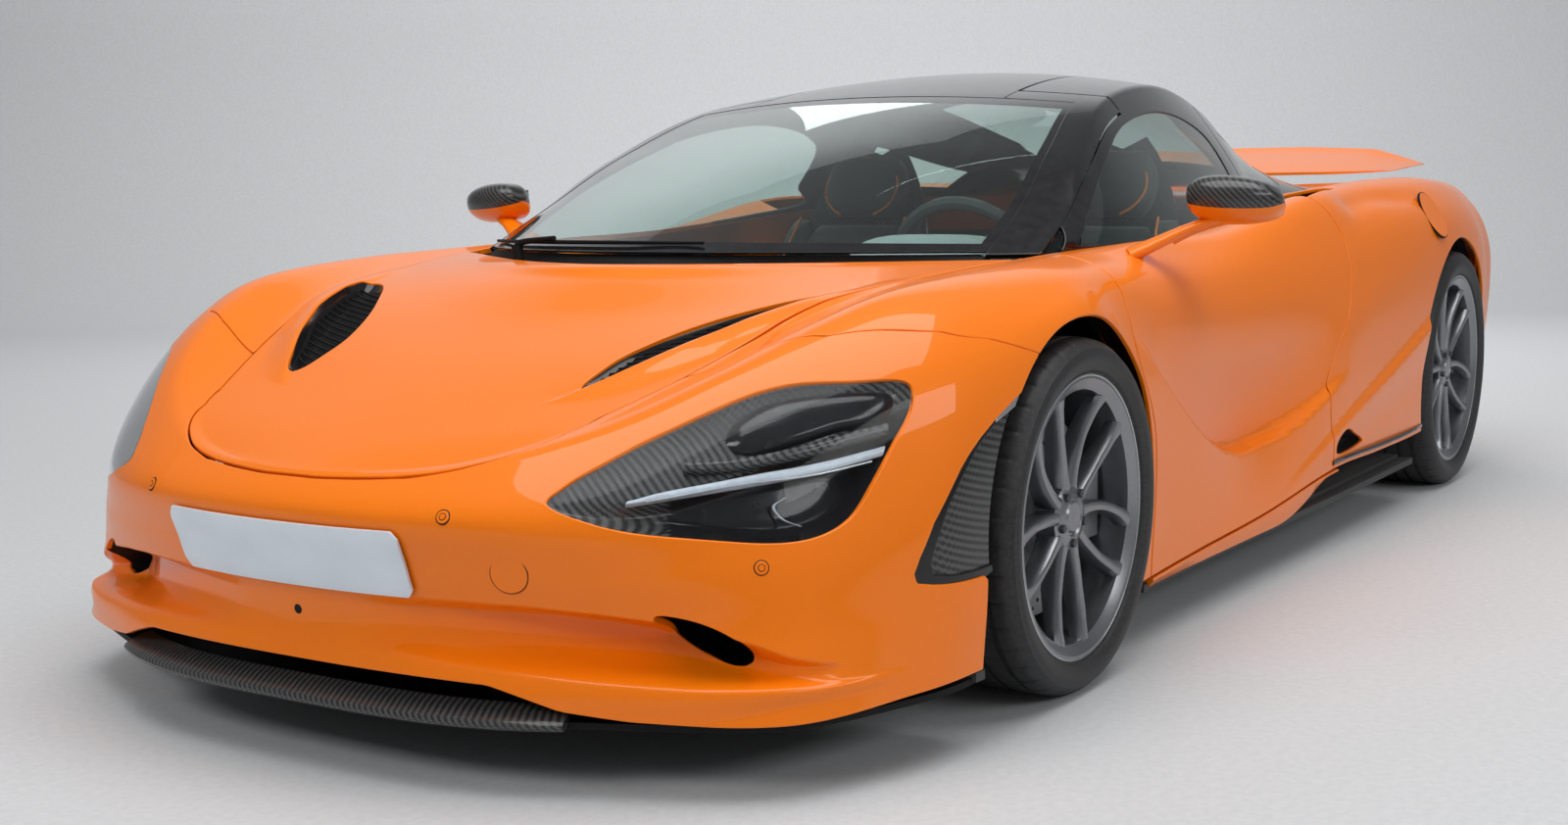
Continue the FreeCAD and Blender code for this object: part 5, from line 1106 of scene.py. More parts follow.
def wheel(tag, x, y, radius, width, rim, side, body_name):
    """Tyre with grooves and sipes, and a satin alloy wheel with pairs of swept spokes."""
    def spin(profile, segments, change=None):
        profile = np.array(profile, float)
        rows = []
        for k in range(segments):
            a = 2 * math.pi * k / segments
            r = profile[:, 0].copy()
            if change is not None:
                r = change(k, r, profile[:, 1])
            rows.append(np.stack([x + r * math.cos(a), y + side * profile[:, 1], radius + r * math.sin(a)],
                                 1))
        return np.concatenate(rows), grid_faces(segments, len(profile), True, True)

    half = width / 2
    wall = radius - rim
    outer = [(rim - 0.014, half - 0.026), (rim - 0.004, half - 0.017), (rim + 0.004, half - 0.012),
             (rim + 0.007, half - 0.0125),
             (rim + 0.010, half - 0.008), (rim + wall * 0.35, half - 0.0015), (rim + wall * 0.55, half),
             (rim + wall * 0.58, half - 0.0008),
             (rim + wall * 0.72, half - 0.003), (radius - 0.013, half - 0.010),
             (radius - 0.0065, half - 0.017), (radius - 0.003, half - 0.026),
             (radius - 0.0012, half - 0.036), (radius - 0.0006, half - 0.047)]
    tread = []
    grooves = (0.070, 0.026) if width < 0.27 else (0.095, 0.055, 0.018)
    for centre in grooves:
        tread += [(radius - 0.0002, centre + 0.0065), (radius - 0.007, centre + 0.0050),
                  (radius - 0.007, centre - 0.0050), (radius - 0.0002, centre - 0.0065)]
    left = outer + tread
    profile = [(r, o) for r, o in left] + [(r, -o) for r, o in reversed(left)]

    def sipes(k, r, offset):
        shoulder = (np.abs(offset) > half - 0.050) & (r > radius - 0.012)
        middle = (np.abs(offset) < half - 0.050) & (r > radius - 0.002)
        return r - np.where(shoulder & (k % 10 == 0), 0.0028, 0) - np.where(middle & (k % 10 == 5), 0.0018,
                0)

    tyre_mesh = spin(profile, 400, sipes)
    solid("tyre_%s_detail" % tag, [(*tyre_mesh, TYRE)], body_name, ("tyre_%s" % tag,), sharp=30)

    seat = rim - 0.016
    lip = half - 0.020
    barrel = [(rim, -lip - 0.007), (rim, -lip), (seat, -lip), (seat - 0.012, -lip * 0.4), (seat, lip),
              (rim, lip), (rim + 0.001, lip + 0.003),
              (rim - 0.001, lip + 0.007), (rim - 0.006, lip + 0.0075), (rim - 0.011, lip + 0.005),
              (seat - 0.010, lip - 0.006), (seat - 0.022, -lip * 0.4),
              (seat - 0.012, -lip + 0.004), (rim - 0.012, -lip - 0.007)]
    # The thin ring of bright bare alloy on the rim's lip is a painted highlight.
    edge = [(rim + 0.0006 + 0.0026 * math.cos(a), lip + 0.0055 + 0.0026 * math.sin(a))
            for a in np.arange(8) * math.pi / 4]
    pieces = [(*spin(barrel, 160), ALLOY), (*spin(edge, 200), BARE)]
    face = half - 0.018
    low = face - 0.062
    hub = [(0.0005, low + 0.022), (0.0005, face - 0.014), (0.026, face - 0.0145), (0.030, face - 0.019),
           (0.034, face - 0.0195), (0.037, face - 0.015),
           (0.050, face - 0.017), (0.062, face - 0.026), (0.063, low), (0.034, low), (0.034, low + 0.022)]
    pieces.append((*spin(hub, 80), ALLOY))
    start_radius, reach = 0.046, seat - 0.006
    for k in range(SPOKE_PAIRS * 2):
        pair, lean = divmod(k, 2)
        base = 2 * math.pi * (pair + (0.20 if lean else -0.20)) / SPOKE_PAIRS + math.pi / 2
        sweep = math.radians(27) * (0.5 if lean else -0.2)
        rings = []
        for share in np.linspace(0, 1, 15):
            r = start_radius + (reach - start_radius) * share
            a = base + sweep * share ** 1.6
            out = np.array([math.cos(a), 0, math.sin(a)])
            across = np.array([-math.sin(a), 0, math.cos(a)])
            w = 0.5 * np.interp(share, (0, 0.15, 0.5, 0.85, 1), (0.030, 0.024, 0.0205, 0.024, 0.036))
            top = face - np.interp(share, (0, 0.2, 0.55, 0.85, 1), (0.019, 0.020, 0.017, 0.009, 0.0035))
            deep = np.interp(share, (0, 0.5, 1), (0.040, 0.036, 0.026))
            section = ((-w, top - deep), (-w * 1.08, top - 0.010), (-w * 0.72, top - 0.0016),
                       (-w * 0.25, top), (w * 0.25, top), (w * 0.72, top - 0.0016),
                       (w * 1.08, top - 0.010), (w, top - deep))
            rings.append([np.array([x, y, radius]) + out * r + across * s + np.array([0, side * o, 0])
                          for s, o in section])
        pieces.append(lofted(rings, ALLOY))
    solid("rim_%s_detail" % tag, pieces, body_name, ("rim_%s" % tag,), sharp=32)
    def round_about(r, count, start, face_y):
        angles = 2 * math.pi * (np.arange(count) + start) / count
        return [(x + r * math.cos(a), face_y, radius + r * math.sin(a)) for a in angles]

    bolts = round_about(0.0485, SPOKE_PAIRS, 0.5 + SPOKE_PAIRS / 4, y + side * (face - 0.020))
    scattered("wheel_bolts_%s" % tag, bolts, [(0, side, 0)] * len(bolts),
              {"Head Radius": 0.0085, "Head Height": 0.016, "Head Sides": 6}, round_head, STEEL, body_name,
              35)
    # The disc's drilled holes are flat dark discs on its face: painted shade in place of real holes.
    holes = []
    for ring, r in enumerate(np.linspace(0.115, 0.176, 5)):
        holes += round_about(r, 20, ring * 0.37, rotor_face(tag, side))
    scattered("disc_holes_%s" % tag, holes, [(0, side, 0)] * len(holes),
              {"Head Radius": 0.0042, "Head Height": 0.0012, "Head Sides": 12}, round_head, DARK, body_name,
              35)


def rotor_face(tag, side):
    """Outer face of the brake disc's rotor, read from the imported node."""
    mesh = frame["nodes"]["disc_%s" % tag].data
    co = np.array([v.co for v in mesh.vertices])
    low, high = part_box("disc_%s" % tag)
    cx, cz = (low[0] + high[0]) / 2, (low[2] + high[2]) / 2
    r = np.hypot(co[:, 0] - cx, co[:, 2] - cz)
    ys = co[r > r.max() - 0.01][:, 1]
    return ys.max() if side > 0 else ys.min()


for place, x, half_track, radius, width, rim in (("front", FRONT_AXLE, 0.840, FRONT_RADIUS, 0.245, 0.2585),
                                                 ("rear", REAR_AXLE, 0.8145, REAR_RADIUS, 0.305, 0.271)):
    for side_name, side in (("left", 1), ("right", -1)):
        wheel(place[0] + side_name[0], x, side * half_track, radius, width, rim, side,
              "wheel_%s_%s" % (place, side_name))

# Wheel arch liners
def arch_liner(axle_x, tyre_radius, inner, y_in, y_out):
    """Dark shell over a wheel with a wall on its inner side."""
    outer = inner + 0.010
    shelf = ((inner, y_out), (inner, y_in - 0.006), (outer, y_in - 0.006), (outer, y_out))
    wall = ((inner, y_in), (0.15, y_in), (0.15, y_in - 0.006), (inner, y_in - 0.006))
    angles = np.radians(np.linspace(-12, 192, 60))
    return [lofted([[(axle_x + r * math.cos(a), y, tyre_radius + r * math.sin(a)) for r, y in profile]
                    for a in angles], DARK)
            for profile in (shelf, wall)]


solid("front_arch_liners", both(arch_liner(FRONT_AXLE, FRONT_RADIUS, 0.398, 0.530, 0.862)), "chassis")
solid("rear_arch_liners", both(arch_liner(REAR_AXLE, REAR_RADIUS, 0.3915, 0.560, 0.925)), "chassis")

# Head lamps
LAMP_CENTRE = (2.95, 3.15)


def lamp_depth(share, uv):
    low = eased((uv[..., 1] - (2.80 + 0.40 * (uv[..., 0] - 2.0) / 1.9)) / 0.25)
    return 0.004 + (0.020 + 0.034 * low) * (1 - share ** 8) * np.clip((uv[..., 0] - 1.55) / 0.8, 0.25, 1)


def lamp_kinds(share, uv):
    u, v = uv[..., 0], uv[..., 1]
    above_bar = v < 2.86 + 0.40 * (u - 2.05) / 1.9
    return np.where(above_bar | (u < 2.30), 0, 1)


bowl_object("head_lamp_bowl", skin_bowl(LAMP_OUTLINE, LAMP_CENTRE, lamp_depth, lamp_kinds, rings=30),
            [CARBON, GLOSS_BLACK], "chassis")
bowl_object("head_lamp_lens", skin_bowl(LAMP_CENTRE + (LAMP_OUTLINE - LAMP_CENTRE) * 0.985, LAMP_CENTRE,
                                        lambda share, uv: 0.0005 + 0 * share, rings=20, back=0.003),
            [LENS], "chassis", ("headlights",))
POD_OUTLINE = smooth_outline(((2.72, 2.66), (2.77, 2.50), (2.96, 2.44), (3.18, 2.50), (3.56, 2.72),
                              (3.95, 2.99), (4.10, 3.16), (4.04, 3.28), (3.88, 3.31),
                              (3.52, 3.13), (3.07, 2.97), (2.84, 2.86)), 5)
bowl_object("head_lamp_pod", skin_bowl(POD_OUTLINE, (3.35, 2.86), lambda share,
        uv: 0.006 + 0.014 * share ** 6, rings=14, back=0.016),
            [GLOSS_BLACK], "chassis")


def sunk_body(depth):
    """The body's skin let in by a depth."""
    return lambda u, v: carved_body(u, v) - outward(body, u, v) * np.asarray(depth)[..., None]


def on_skin(uv, depth):
    uv = np.asarray(uv, float)
    return sunk_body(depth)(uv[..., 0], uv[..., 1])


def ribbon(top, bottom, depth, material, thick=0.006, count=40, bulge=0.003):
    """A rounded strip inside a skin between two (u, v) paths."""
    t = np.linspace(0, len(top) - 1, count)
    a, b = extended(np.array(top, float), t), extended(np.array(bottom, float), t)
    rings = []
    for low, high in zip(a, b):
        uv = np.array([low + (high - low) * s for s in (0, 0.15, 0.5, 0.85, 1)])
        front = on_skin(uv, depth - bulge * np.array([0, 0.8, 1, 0.8, 0]))
        back = on_skin(uv[::-1], depth + thick + np.zeros(5))
        rings.append(np.concatenate([front, back]))
    return lofted(rings, material)


BAR_TOP = ((2.10, 2.87), (2.33, 2.90), (2.78, 3.09), (3.32, 3.31), (3.90, 3.52))
BAR_LOW = ((2.08, 2.91), (2.31, 2.99), (2.76, 3.20), (3.31, 3.40), (3.86, 3.585))
LEDGE_TOP = ((2.45, 2.66), (2.75, 2.86), (3.05, 3.00), (3.51, 3.17), (3.95, 3.34))
LEDGE_LOW = ((2.43, 2.76), (2.72, 2.97), (3.02, 3.11), (3.48, 3.29), (3.92, 3.45))
solid("head_lamp_bars", both([ribbon(BAR_TOP, BAR_LOW, 0.012, LIGHT_BAR, 0.010),
                              ribbon(LEDGE_TOP, LEDGE_LOW, 0.010, CARBON, 0.012, bulge=0.006),
                              ribbon(((3.05, 3.46), (2.96, 3.50), (3.02, 3.66), (3.16, 3.80)),
                                      ((3.07, 3.47), (2.98, 3.51), (3.04, 3.67), (3.18, 3.81)), 0.040,
                                              LIGHT_BAR, 0.002, bulge=0.001),
                              ribbon(((2.20, 2.95), (2.6, 3.10), (3.2, 3.36), (3.75, 3.56)),
                                      ((2.20, 2.965), (2.6, 3.115), (3.2, 3.375), (3.75, 3.575)), 0.008,
                                              BARE, 0.002, bulge=0.001)]),
      "chassis", sharp=50)

# Carbon louvres ahead of the front wheels
LOUVRE_FRONT = table_value(((4.05, 5.16), (4.10, 5.06), (4.18, 4.75), (4.37, 4.35), (4.55, 4.17),
                            (4.66, 4.10),
                            (4.76, 4.13), (4.85, 4.38), (5.02, 5.0)))
panel("louvre_front_skin", sunk_body(0.012), lambda v: (LOUVRE_FRONT(v) + 0.20, np.full_like(v, 5.9)),
      constant(4.10, 5.02), (40, 30), CARBON, "chassis", (), (FRONT_ARCH,), both=True,
      gaps=(0, 0, 0.001, 0.001),
      depth=0.006)
panel("louvre_frame_skin", sunk_body(0.006), lambda v: (LOUVRE_FRONT(v) - 0.02, LOUVRE_FRONT(v) + 0.17),
      constant(4.08, 5.03), (10, 40), GLOSS_BLACK, "chassis", (), (FRONT_ARCH,), both=True,
      gaps=(0, 0, 0, 0),
      depth=0.008)
# The louvre's top strip is carbon, drawn in bright bare alloy as a painted highlight.
panel("louvre_top_skin", sunk_body(0.003), constant(5.10, 5.9), constant(3.98, 4.12), (14, 8), BARE,
      "chassis", (),
      (FRONT_ARCH,), both=True, gaps=(0, 0, 0, 0), depth=0.008)

# Bonnet vents
bowl_object("bonnet_vent_bowls", skin_bowl(VENT_OUTLINE, (4.45, 0.75), lambda share,
        uv: 0.002 + 0.030 * (1 - share ** 6),
                                           lambda share, uv: np.where(share > 0.93, 1, 0)),
            [DARK, GLOSS_BLACK], "bonnet")
slats = []
for share in np.linspace(0.08, 0.92, 16):
    u = 3.3 + (5.35 - 3.3) * share
    low = np.interp(u, (3.2, 3.6, 4.1, 4.75, 5.3), (0.62, 0.585, 0.575, 0.645, 0.775))
    high = np.interp(u, (3.2, 3.55, 4.2, 4.8, 5.25, 5.35), (0.655, 0.715, 0.825, 0.875, 0.905, 0.89))
    points = on_skin(np.array([(u + 0.05 * s, low + (high - low) * s) for s in (0, 0.33, 0.66, 1)]),
                     np.full(4, 0.012))
    slats.append(tube(points, 0.0022, DARK, 6))
solid("bonnet_vent_slats", both(slats), "bonnet")

# Number plate, sensors, tow cover
def front_place(y, z):
    """(u, v) of the point of the nose at side y and height z."""
    y, z = np.broadcast_arrays(np.asarray(y, float), np.asarray(z, float))
    shape = y.shape
    y, z = y.ravel(), z.ravel()
    us, vs = np.meshgrid(np.linspace(-4.5, 4.5, 181), np.linspace(2.3, 5.9, 73), indexing="ij")
    us, vs = us.ravel(), vs.ravel()
    p = body(us, vs)
    nearest = np.argmin((p[None, :, 1] - y[:, None]) ** 2 + (p[None, :, 2] - z[:, None]) ** 2, axis=1)
    u, v = us[nearest], vs[nearest]
    for _ in range(6):
        q = body(u, v)
        du = (body(u + 0.01, v) - body(u - 0.01, v)) / 0.02
        dv = (body(u, v + 0.01) - body(u, v - 0.01)) / 0.02
        ry, rz = y - q[:, 1], z - q[:, 2]
        det = du[:, 1] * dv[:, 2] - dv[:, 1] * du[:, 2]
        u = u + (ry * dv[:, 2] - dv[:, 1] * rz) / det
        v = v + (du[:, 1] * rz - du[:, 2] * ry) / det
    return np.stack([u, v], -1).reshape(shape + (2,))


def number_plate():
    """A blank plate bent along the nose, with round corners."""
    half_width, half_height, middle, corner = 0.260, 0.055, 0.360, 0.012
    heights = np.linspace(-half_height, half_height, 12)
    edge_round = np.where(np.abs(heights) > 0.054, 0.0015, 0)
    rings = []
    for y in np.linspace(-half_width, half_width, 53):
        past = max(corner - (half_width - abs(y)), 0)
        cut = corner - math.sqrt(max(corner ** 2 - past ** 2, 0))
        uv = front_place(np.full(12, y), middle + heights * (half_height - cut) / half_height)
        rings.append(np.concatenate([on_skin(uv, -0.0105 + edge_round),
                on_skin(uv, np.full(12, -0.0045))[::-1]]))
    return lofted(rings, PLATE)


solid("front_number_plate", [number_plate()], "chassis", sharp=30)


def disc_mark(uv, radius, height, material, segments=28):
    """A flat round cover or sensor on the skin."""
    centre = on_skin(np.array([uv]), np.zeros(1))[0]
    normal = outward(body, np.array([uv[0]]), np.array([uv[1]]))[0]
    side = np.cross(normal, (0, 0, 1))
    side /= np.linalg.norm(side)
    over = np.cross(side, normal)
    profile = ((0.0, height), (radius * 0.6, height), (radius - 0.0012, height), (radius, height - 0.0012),
               (radius, -0.006), (0.0, -0.006))
    rings = [[centre + (side * math.cos(a) + over * math.sin(a)) * r + normal * h for r, h in profile]
             for a in np.arange(segments) * 2 * math.pi / segments]
    return np.concatenate(rings), grid_faces(segments, len(profile), True, False), material


marks = []
for uv in ((1.06, 2.94), (2.81, 4.09)):
    marks += both([disc_mark(uv, 0.0125, 0.0008, DARK), disc_mark(uv, 0.0110, 0.0016, PAINT),
                   disc_mark(uv, 0.0065, 0.0022, DARK), disc_mark(uv, 0.0055, 0.0026, PAINT)])
# The lone dark disc at the nose's centre, below the plate, is painted shade standing for a small hole.
marks += [disc_mark((1.35, 3.98), 0.0325, 0.0004, DARK), disc_mark((1.35, 3.98), 0.0312, 0.0010, PAINT),
          disc_mark((0.0, 4.94), 0.009, 0.0006, DARK)]
solid("bumper_sensors", marks, "chassis", sharp=30)

# Lower intakes of the bumper
bowl_object("lower_intake_ducts", skin_bowl(INTAKE_OUTLINE, (2.45, 5.0), lambda share,
        uv: 0.004 + 0.10 * (1 - share ** 5)),
            [DARK], "chassis")

# Mirrors
MIRROR_X, MIRROR_Z = FRONT_AXLE - 0.640, 0.876


def mirror_fill(share):
    """How full the housing is at a share of its width."""
    return math.sqrt(max(1 - (2 * share - 1) ** 6 * 0.93,
                         0.02)) * (0.80 + 0.20 * math.sin(math.pi * min(share * 1.15, 1)))


def mirror_housing(side):
    """The housing: carbon over a painted underside."""
    rings, count = [], 28
    for share in np.linspace(0, 1, 22):
        tall, deep = 0.050 * mirror_fill(share), 0.066 * mirror_fill(share)
        ring = []
        for a in np.arange(count) * 2 * math.pi / count:
            c, s = math.cos(a), math.sin(a)
            x = deep * math.copysign(abs(c) ** (0.9 if c > 0 else 0.45), c) - 0.030 * share ** 2 + 0.01 * s
            z = tall * math.copysign(abs(s) ** 0.85, s) + 0.012 * (1 - share)
            ring.append((MIRROR_X + x, side * (0.893 + 0.187 * share), MIRROR_Z + z))
        rings.append(ring)
    vertices, faces, carbon = lofted(rings, CARBON)
    under = [all(i % count in range(15, 28) for i in face if i < 22 * count) for face in faces]
    return [(vertices, [face for face, low in zip(faces, under) if not low], carbon),
            (vertices, [face for face, low in zip(faces, under) if low], PAINT)]


def mirror_arms(side):
    spine = np.array([(MIRROR_X + 0.090, 0.800, 0.772), (MIRROR_X + 0.060, 0.850, 0.798),
                      (MIRROR_X + 0.030, 0.905, 0.826), (MIRROR_X + 0.002, 0.958, 0.845)])
    second = np.array([(MIRROR_X + 0.002, 0.860, 0.800), (MIRROR_X - 0.010, 0.905, 0.822),
                       (MIRROR_X - 0.018, 0.958, 0.838), (MIRROR_X - 0.02, 0.990, 0.846)])
    scale = np.array([1, side, 1])
    return [tube(spine * scale, np.array([0.036, 0.030, 0.024, 0.024]), PAINT, 14, flat=0.45),
            tube(second * scale, np.array([0.016, 0.013, 0.013, 0.016]), PAINT, 12, flat=0.6)]


for tag, side, body_name in (("l", 1, "door_left"), ("r", -1, "door_right")):
    solid("mirror_%s_housing" % tag, mirror_housing(side), body_name, ("mirror_%s" % tag,),
          sharp=50)
    solid("mirror_%s_arm" % tag, mirror_arms(side), body_name, sharp=60)
    glass = []
    for share in np.linspace(0.14, 0.86, 14):
        tall = 0.034 * mirror_fill(share)
        x = MIRROR_X - 0.065 * mirror_fill(share) - 0.030 * share ** 2
        y, z = side * (0.893 + 0.187 * share), MIRROR_Z + 0.012 * (1 - share)
        glass.append([(x + ahead, y, z + up) for ahead, up in ((-0.0015, -tall), (-0.003, 0),
                (-0.0015, tall),
                                                               (0.012, tall), (0.012, -tall))])
    solid("mirror_%s_glass" % tag, [lofted(glass, BARE)], body_name, sharp=50)

# Rear wing
# Share of the half span, x of both edges from the rear axle, heights of front edge, middle and rear edge, thickness
WING_TABLE = ((0.0, -0.120, -0.640, 0.923, 0.963, 0.993, 0.034),
              (0.4, -0.125, -0.640, 0.923, 0.963, 0.993, 0.034),
              (0.75, -0.150, -0.625, 0.924, 0.958, 0.984, 0.030),
              (1.0, -0.210, -0.560, 0.926, 0.936, 0.944, 0.014))


def wing_rings():
    table = np.array(WING_TABLE)
    rings = []
    for y in np.linspace(-1, 1, 61):
        share = abs(y)
        front, rear, z_front, z_mid, z_rear, thick = [np.interp(share, table[:, 0], table[:, k])
                for k in range(1, 7)]
        close = 1 - share ** 14
        upper, lower = [], []
        for s in np.linspace(0, 1, 14):
            x = REAR_AXLE + front + (rear - front) * s
            z = z_front * (1 - s) * (1 - 2 * s) + z_mid * 4 * s * (1 - s) + z_rear * s * (2 * s - 1)
            lip = 0.012 * eased((s - 0.86) / 0.14) * (1 - share ** 6)
            upper.append((x, 0.700 * y, z + lip))
            lower.append((x, 0.700 * y, z + lip * 0.3 - thick * close * (math.sin(math.pi * min(max(s,
                    0.02), 0.98)) ** 0.6) * (1 - 0.45 * s) - 0.002))
        rings.append(upper + lower[::-1])
    return rings


solid("rear_wing_blade", [lofted(wing_rings(), PAINT)] + both([box_piece((REAR_AXLE - 0.147, 0.294, 0.878),
        (REAR_AXLE - 0.123, 0.316, 0.915), GLOSS_BLACK)]),
      "wing", ("rear_wing",), sharp=40)

# Splitter, rockers, vents behind the wheels
def under_lip(u, out, z):
    """A point under the nose's lower edge at row u, moved outwards level with the floor."""
    edge = body(np.array([u]), np.array([6.0]))[0]
    normal = outward(body, np.array([u]), np.array([5.4]))[0] * np.array([1, 1, 0])
    normal /= max(np.linalg.norm(normal), 1e-9)
    return np.array([edge[0], edge[1], 0]) + normal * out + np.array([0, 0, z])


splitter_rows, floor_rows = [], []
for u in np.linspace(-1.62, 1.62, 61):
    fade = 1 - (abs(u) / 1.62) ** 6
    out = 0.004 + 0.012 * fade
    splitter_rows.append([under_lip(u, o, z) for o, z in ((out - 0.005, 0.109), (out, 0.113),
            (out + 0.001, 0.118), (out - 0.003, 0.1235), (-0.020, 0.134), (-0.045, 0.140),
            (-0.050, 0.109))])
for u in np.linspace(-4.9, 4.9, 81):
    front = under_lip(u, -0.022, 0)
    rear_x = min(FRONT_AXLE + 0.385, front[0] - 0.004)
    floor_rows.append([(front[0], front[1], 0.108), (front[0], front[1], 0.119), (rear_x, front[1], 0.119),
                       (rear_x, front[1], 0.108)])
solid("splitter_blade", [lofted(splitter_rows, CARBON), lofted(floor_rows, DARK)], "chassis",
      ("splitter",), sharp=40)

rocker = []
for u in np.linspace(7.05, 10.1, 40):
    x, y, z = body(np.array([u]), np.array([6.0]))[0]
    top = z - 0.006
    low = 0.116 + (top - 0.128) * eased((u - 9.2) / 0.9)
    rocker.append([(x, y - 0.020, top), (x, y - 0.002, top - 0.001), (x, y - 0.001, top - 0.006),
                   (x, y - 0.012, low + 0.003), (x, y - 0.018, low), (x, y - 0.034, low)])
solid("rocker_skins", both([lofted(rocker, PAINT)]), "chassis")

# The red strip at the rear of each front arch glows though it is no lamp: painted light on the fender's inner edge.
arch_strips = []
for radius, y, start, end, material in ((0.366, 0.905, 152, 197, RED),
        (0.3645, 0.880, 120, 205, GLOSS_BLACK)):
    profile = ((radius, -0.014), (radius - 0.0012, 0), (radius, 0.014), (radius + 0.004, 0.014),
               (radius + 0.004, -0.014))
    arch_strips.append(lofted([[(FRONT_AXLE + r * math.cos(a), y + o, FRONT_RADIUS + r * math.sin(a)) for r,
                                o in profile]
                               for a in np.radians(np.linspace(start, end, 30))], material))
solid("front_arch_strips", both(arch_strips), "chassis")
bowl_object("sill_intake_ducts", skin_bowl(SILL_INTAKE, (10.28, 5.76), lambda share,
        uv: 0.002 + 0.035 * (1 - share ** 4), rings=10),
            [DARK], "chassis")
blade_rows = []
for u in np.linspace(9.98, 12.0, 40):
    edge = body(np.array([u]), np.array([5.93]))[0]
    fade = math.sin(math.pi * (u - 9.9) / 2.2) ** 0.5
    blade_rows.append([(edge[0], edge[1] + o * fade, edge[2] + h) for o,
                       h in ((-0.030, 0.004), (0.010, 0.006), (0.013, 0.001), (0.010, -0.004),
                             (-0.030, -0.010))])
solid("sill_blades", both([lofted(blade_rows, GLOSS_BLACK)]), "chassis")

# Fuel flap, left side only
solid("fuel_flap", [disc_mark((12.37, 3.33), 0.074, 0.0002, DARK),
                    disc_mark((12.37, 3.33), 0.0715, 0.0010, PAINT)], "chassis", sharp=25)

# Tail
PIPE_Y, PIPE_Z = 0.075, 0.640
bowl_object("tail_grille_back", skin_bowl(TAIL_OPENING, (17, 3.85), lambda share,
        uv: 0.003 + 0.045 * (1 - share ** 10),
                                          lambda share, uv: np.where(share > 0.985, 1, 0), rings=18),
            [DARK, GLOSS_BLACK], "chassis", both_sides=False)
inside_tail = outside_outline(TAIL_OPENING)
grid_u, grid_v = [grid.ravel() for grid in np.meshgrid(np.linspace(15.2, 18.8, 181),
        np.linspace(2.9, 4.9, 71), indexing="ij")]
grid_points = body(grid_u, grid_v)
cells, cell_axes = [], []
for row, z in enumerate(np.arange(0.545, 0.80, 0.0145)):
    for y in np.arange(-0.70, 0.70, 0.0168) + (0.0084 if row % 2 else 0):
        nearest = np.argmin((grid_points[:, 1] - y) ** 2 + (grid_points[:, 2] - z) ** 2)
        q, u, v = grid_points[nearest], grid_u[nearest:nearest + 1], grid_v[nearest:nearest + 1]
        if max(abs(q[1] - y), abs(q[2] - z)) > 0.012 or math.hypot(abs(y) - PIPE_Y, z - PIPE_Z) <= 0.062:
            continue
        if -inside_tail(u, v, q[None])[0] > 0.02:
            normal = outward(body, u, v)[0]
            cells.append(np.array([q[0], y, z]) - normal * 0.016)
            cell_axes.append(normal)
scattered("tail_grille_mesh", cells, cell_axes, {"Cell Radius": 0.0096, "Wire Radius": 0.0011}, wire_cell,
          DARK,
          "chassis")
tail_lamp = ribbon([(u, 2.60) for u in (15.10, 15.5, 15.9, 16.32)],
                   [(u, 2.84) for u in (15.10, 15.5, 15.9, 16.32)], 0.002, RED, thick=0.012, bulge=0.002)
lamp_edge = ribbon([(u, 2.585) for u in (15.085, 15.5, 15.9, 16.335)],
                   [(u, 2.855) for u in (15.085, 15.5, 15.9, 16.335)], 0.008, GLOSS_BLACK, thick=0.012,
                   bulge=0.0)
solid("tail_lamp_bars", both([tail_lamp, lamp_edge]), "chassis", ("tail_lamps",), sharp=50)


def pipe_lip(y, z):
    """Flared end of one exhaust pipe."""
    profile = ((0.0485, -0.020), (0.0520, 0.006), (0.0535, 0.012), (0.0525, 0.0155), (0.0500, 0.0145),
               (0.0470, 0.006), (0.0440, -0.020))
    rings = [[(-2.2725 - o, y + r * math.cos(a), z + r * math.sin(a)) for r, o in profile]
             for a in np.arange(48) * 2 * math.pi / 48]
    return lofted(rings, PIPE, closed=True)


solid("exhaust_lips", [pipe_lip(PIPE_Y, PIPE_Z), pipe_lip(-PIPE_Y, PIPE_Z)], "chassis",
      sharp=40)

# Wiper and cowl
def on_canopy(u, v, height):
    u, v = np.array([u], float), np.array([v], float)
    return (canopy(u, v) + outward(canopy, u, v) * height)[0]


wiper_parts = [tube([on_canopy(0.185 + 0.02 * t, -0.80 + 1.05 * t, 0.006) for t in (0, 0.25, 0.5, 0.75, 1)],
                    np.array([0.0032, 0.004, 0.0045, 0.004, 0.0032]), DARK, 8),
               tube([on_canopy(0.05, -0.42, 0.010), on_canopy(0.09, -0.40, 0.020),
                     on_canopy(0.19, -0.27, 0.016)], np.array([0.009, 0.007, 0.005]), DARK, 10),
               tube([on_canopy(0.02, -0.42, -0.012), on_canopy(0.06, -0.42, 0.016)], 0.012, DARK, 16)]
solid("screen_wiper", wiper_parts, "chassis", sharp=50)

cowl_rows = []
for v in np.linspace(-0.98, 0.98, 61):
    front = body(np.array([6.93]), np.array([v]))[0]
    rear = on_canopy(0.14, v * 0.9, -0.006)
    rise = np.array([0, 0, 1.0])
    cowl_rows.append([front - rise * 0.016, front * 0.75 + rear * 0.25 - rise * 0.024,
                      (front + rear) / 2 - rise * 0.020, rear - rise * 0.004,
                      rear - rise * 0.012, (front + rear) / 2 - rise * 0.030, front - rise * 0.026])
solid("scuttle_panel", [lofted(cowl_rows, DARK)], "chassis")

# Cabin
SEAT_Y = 0.360


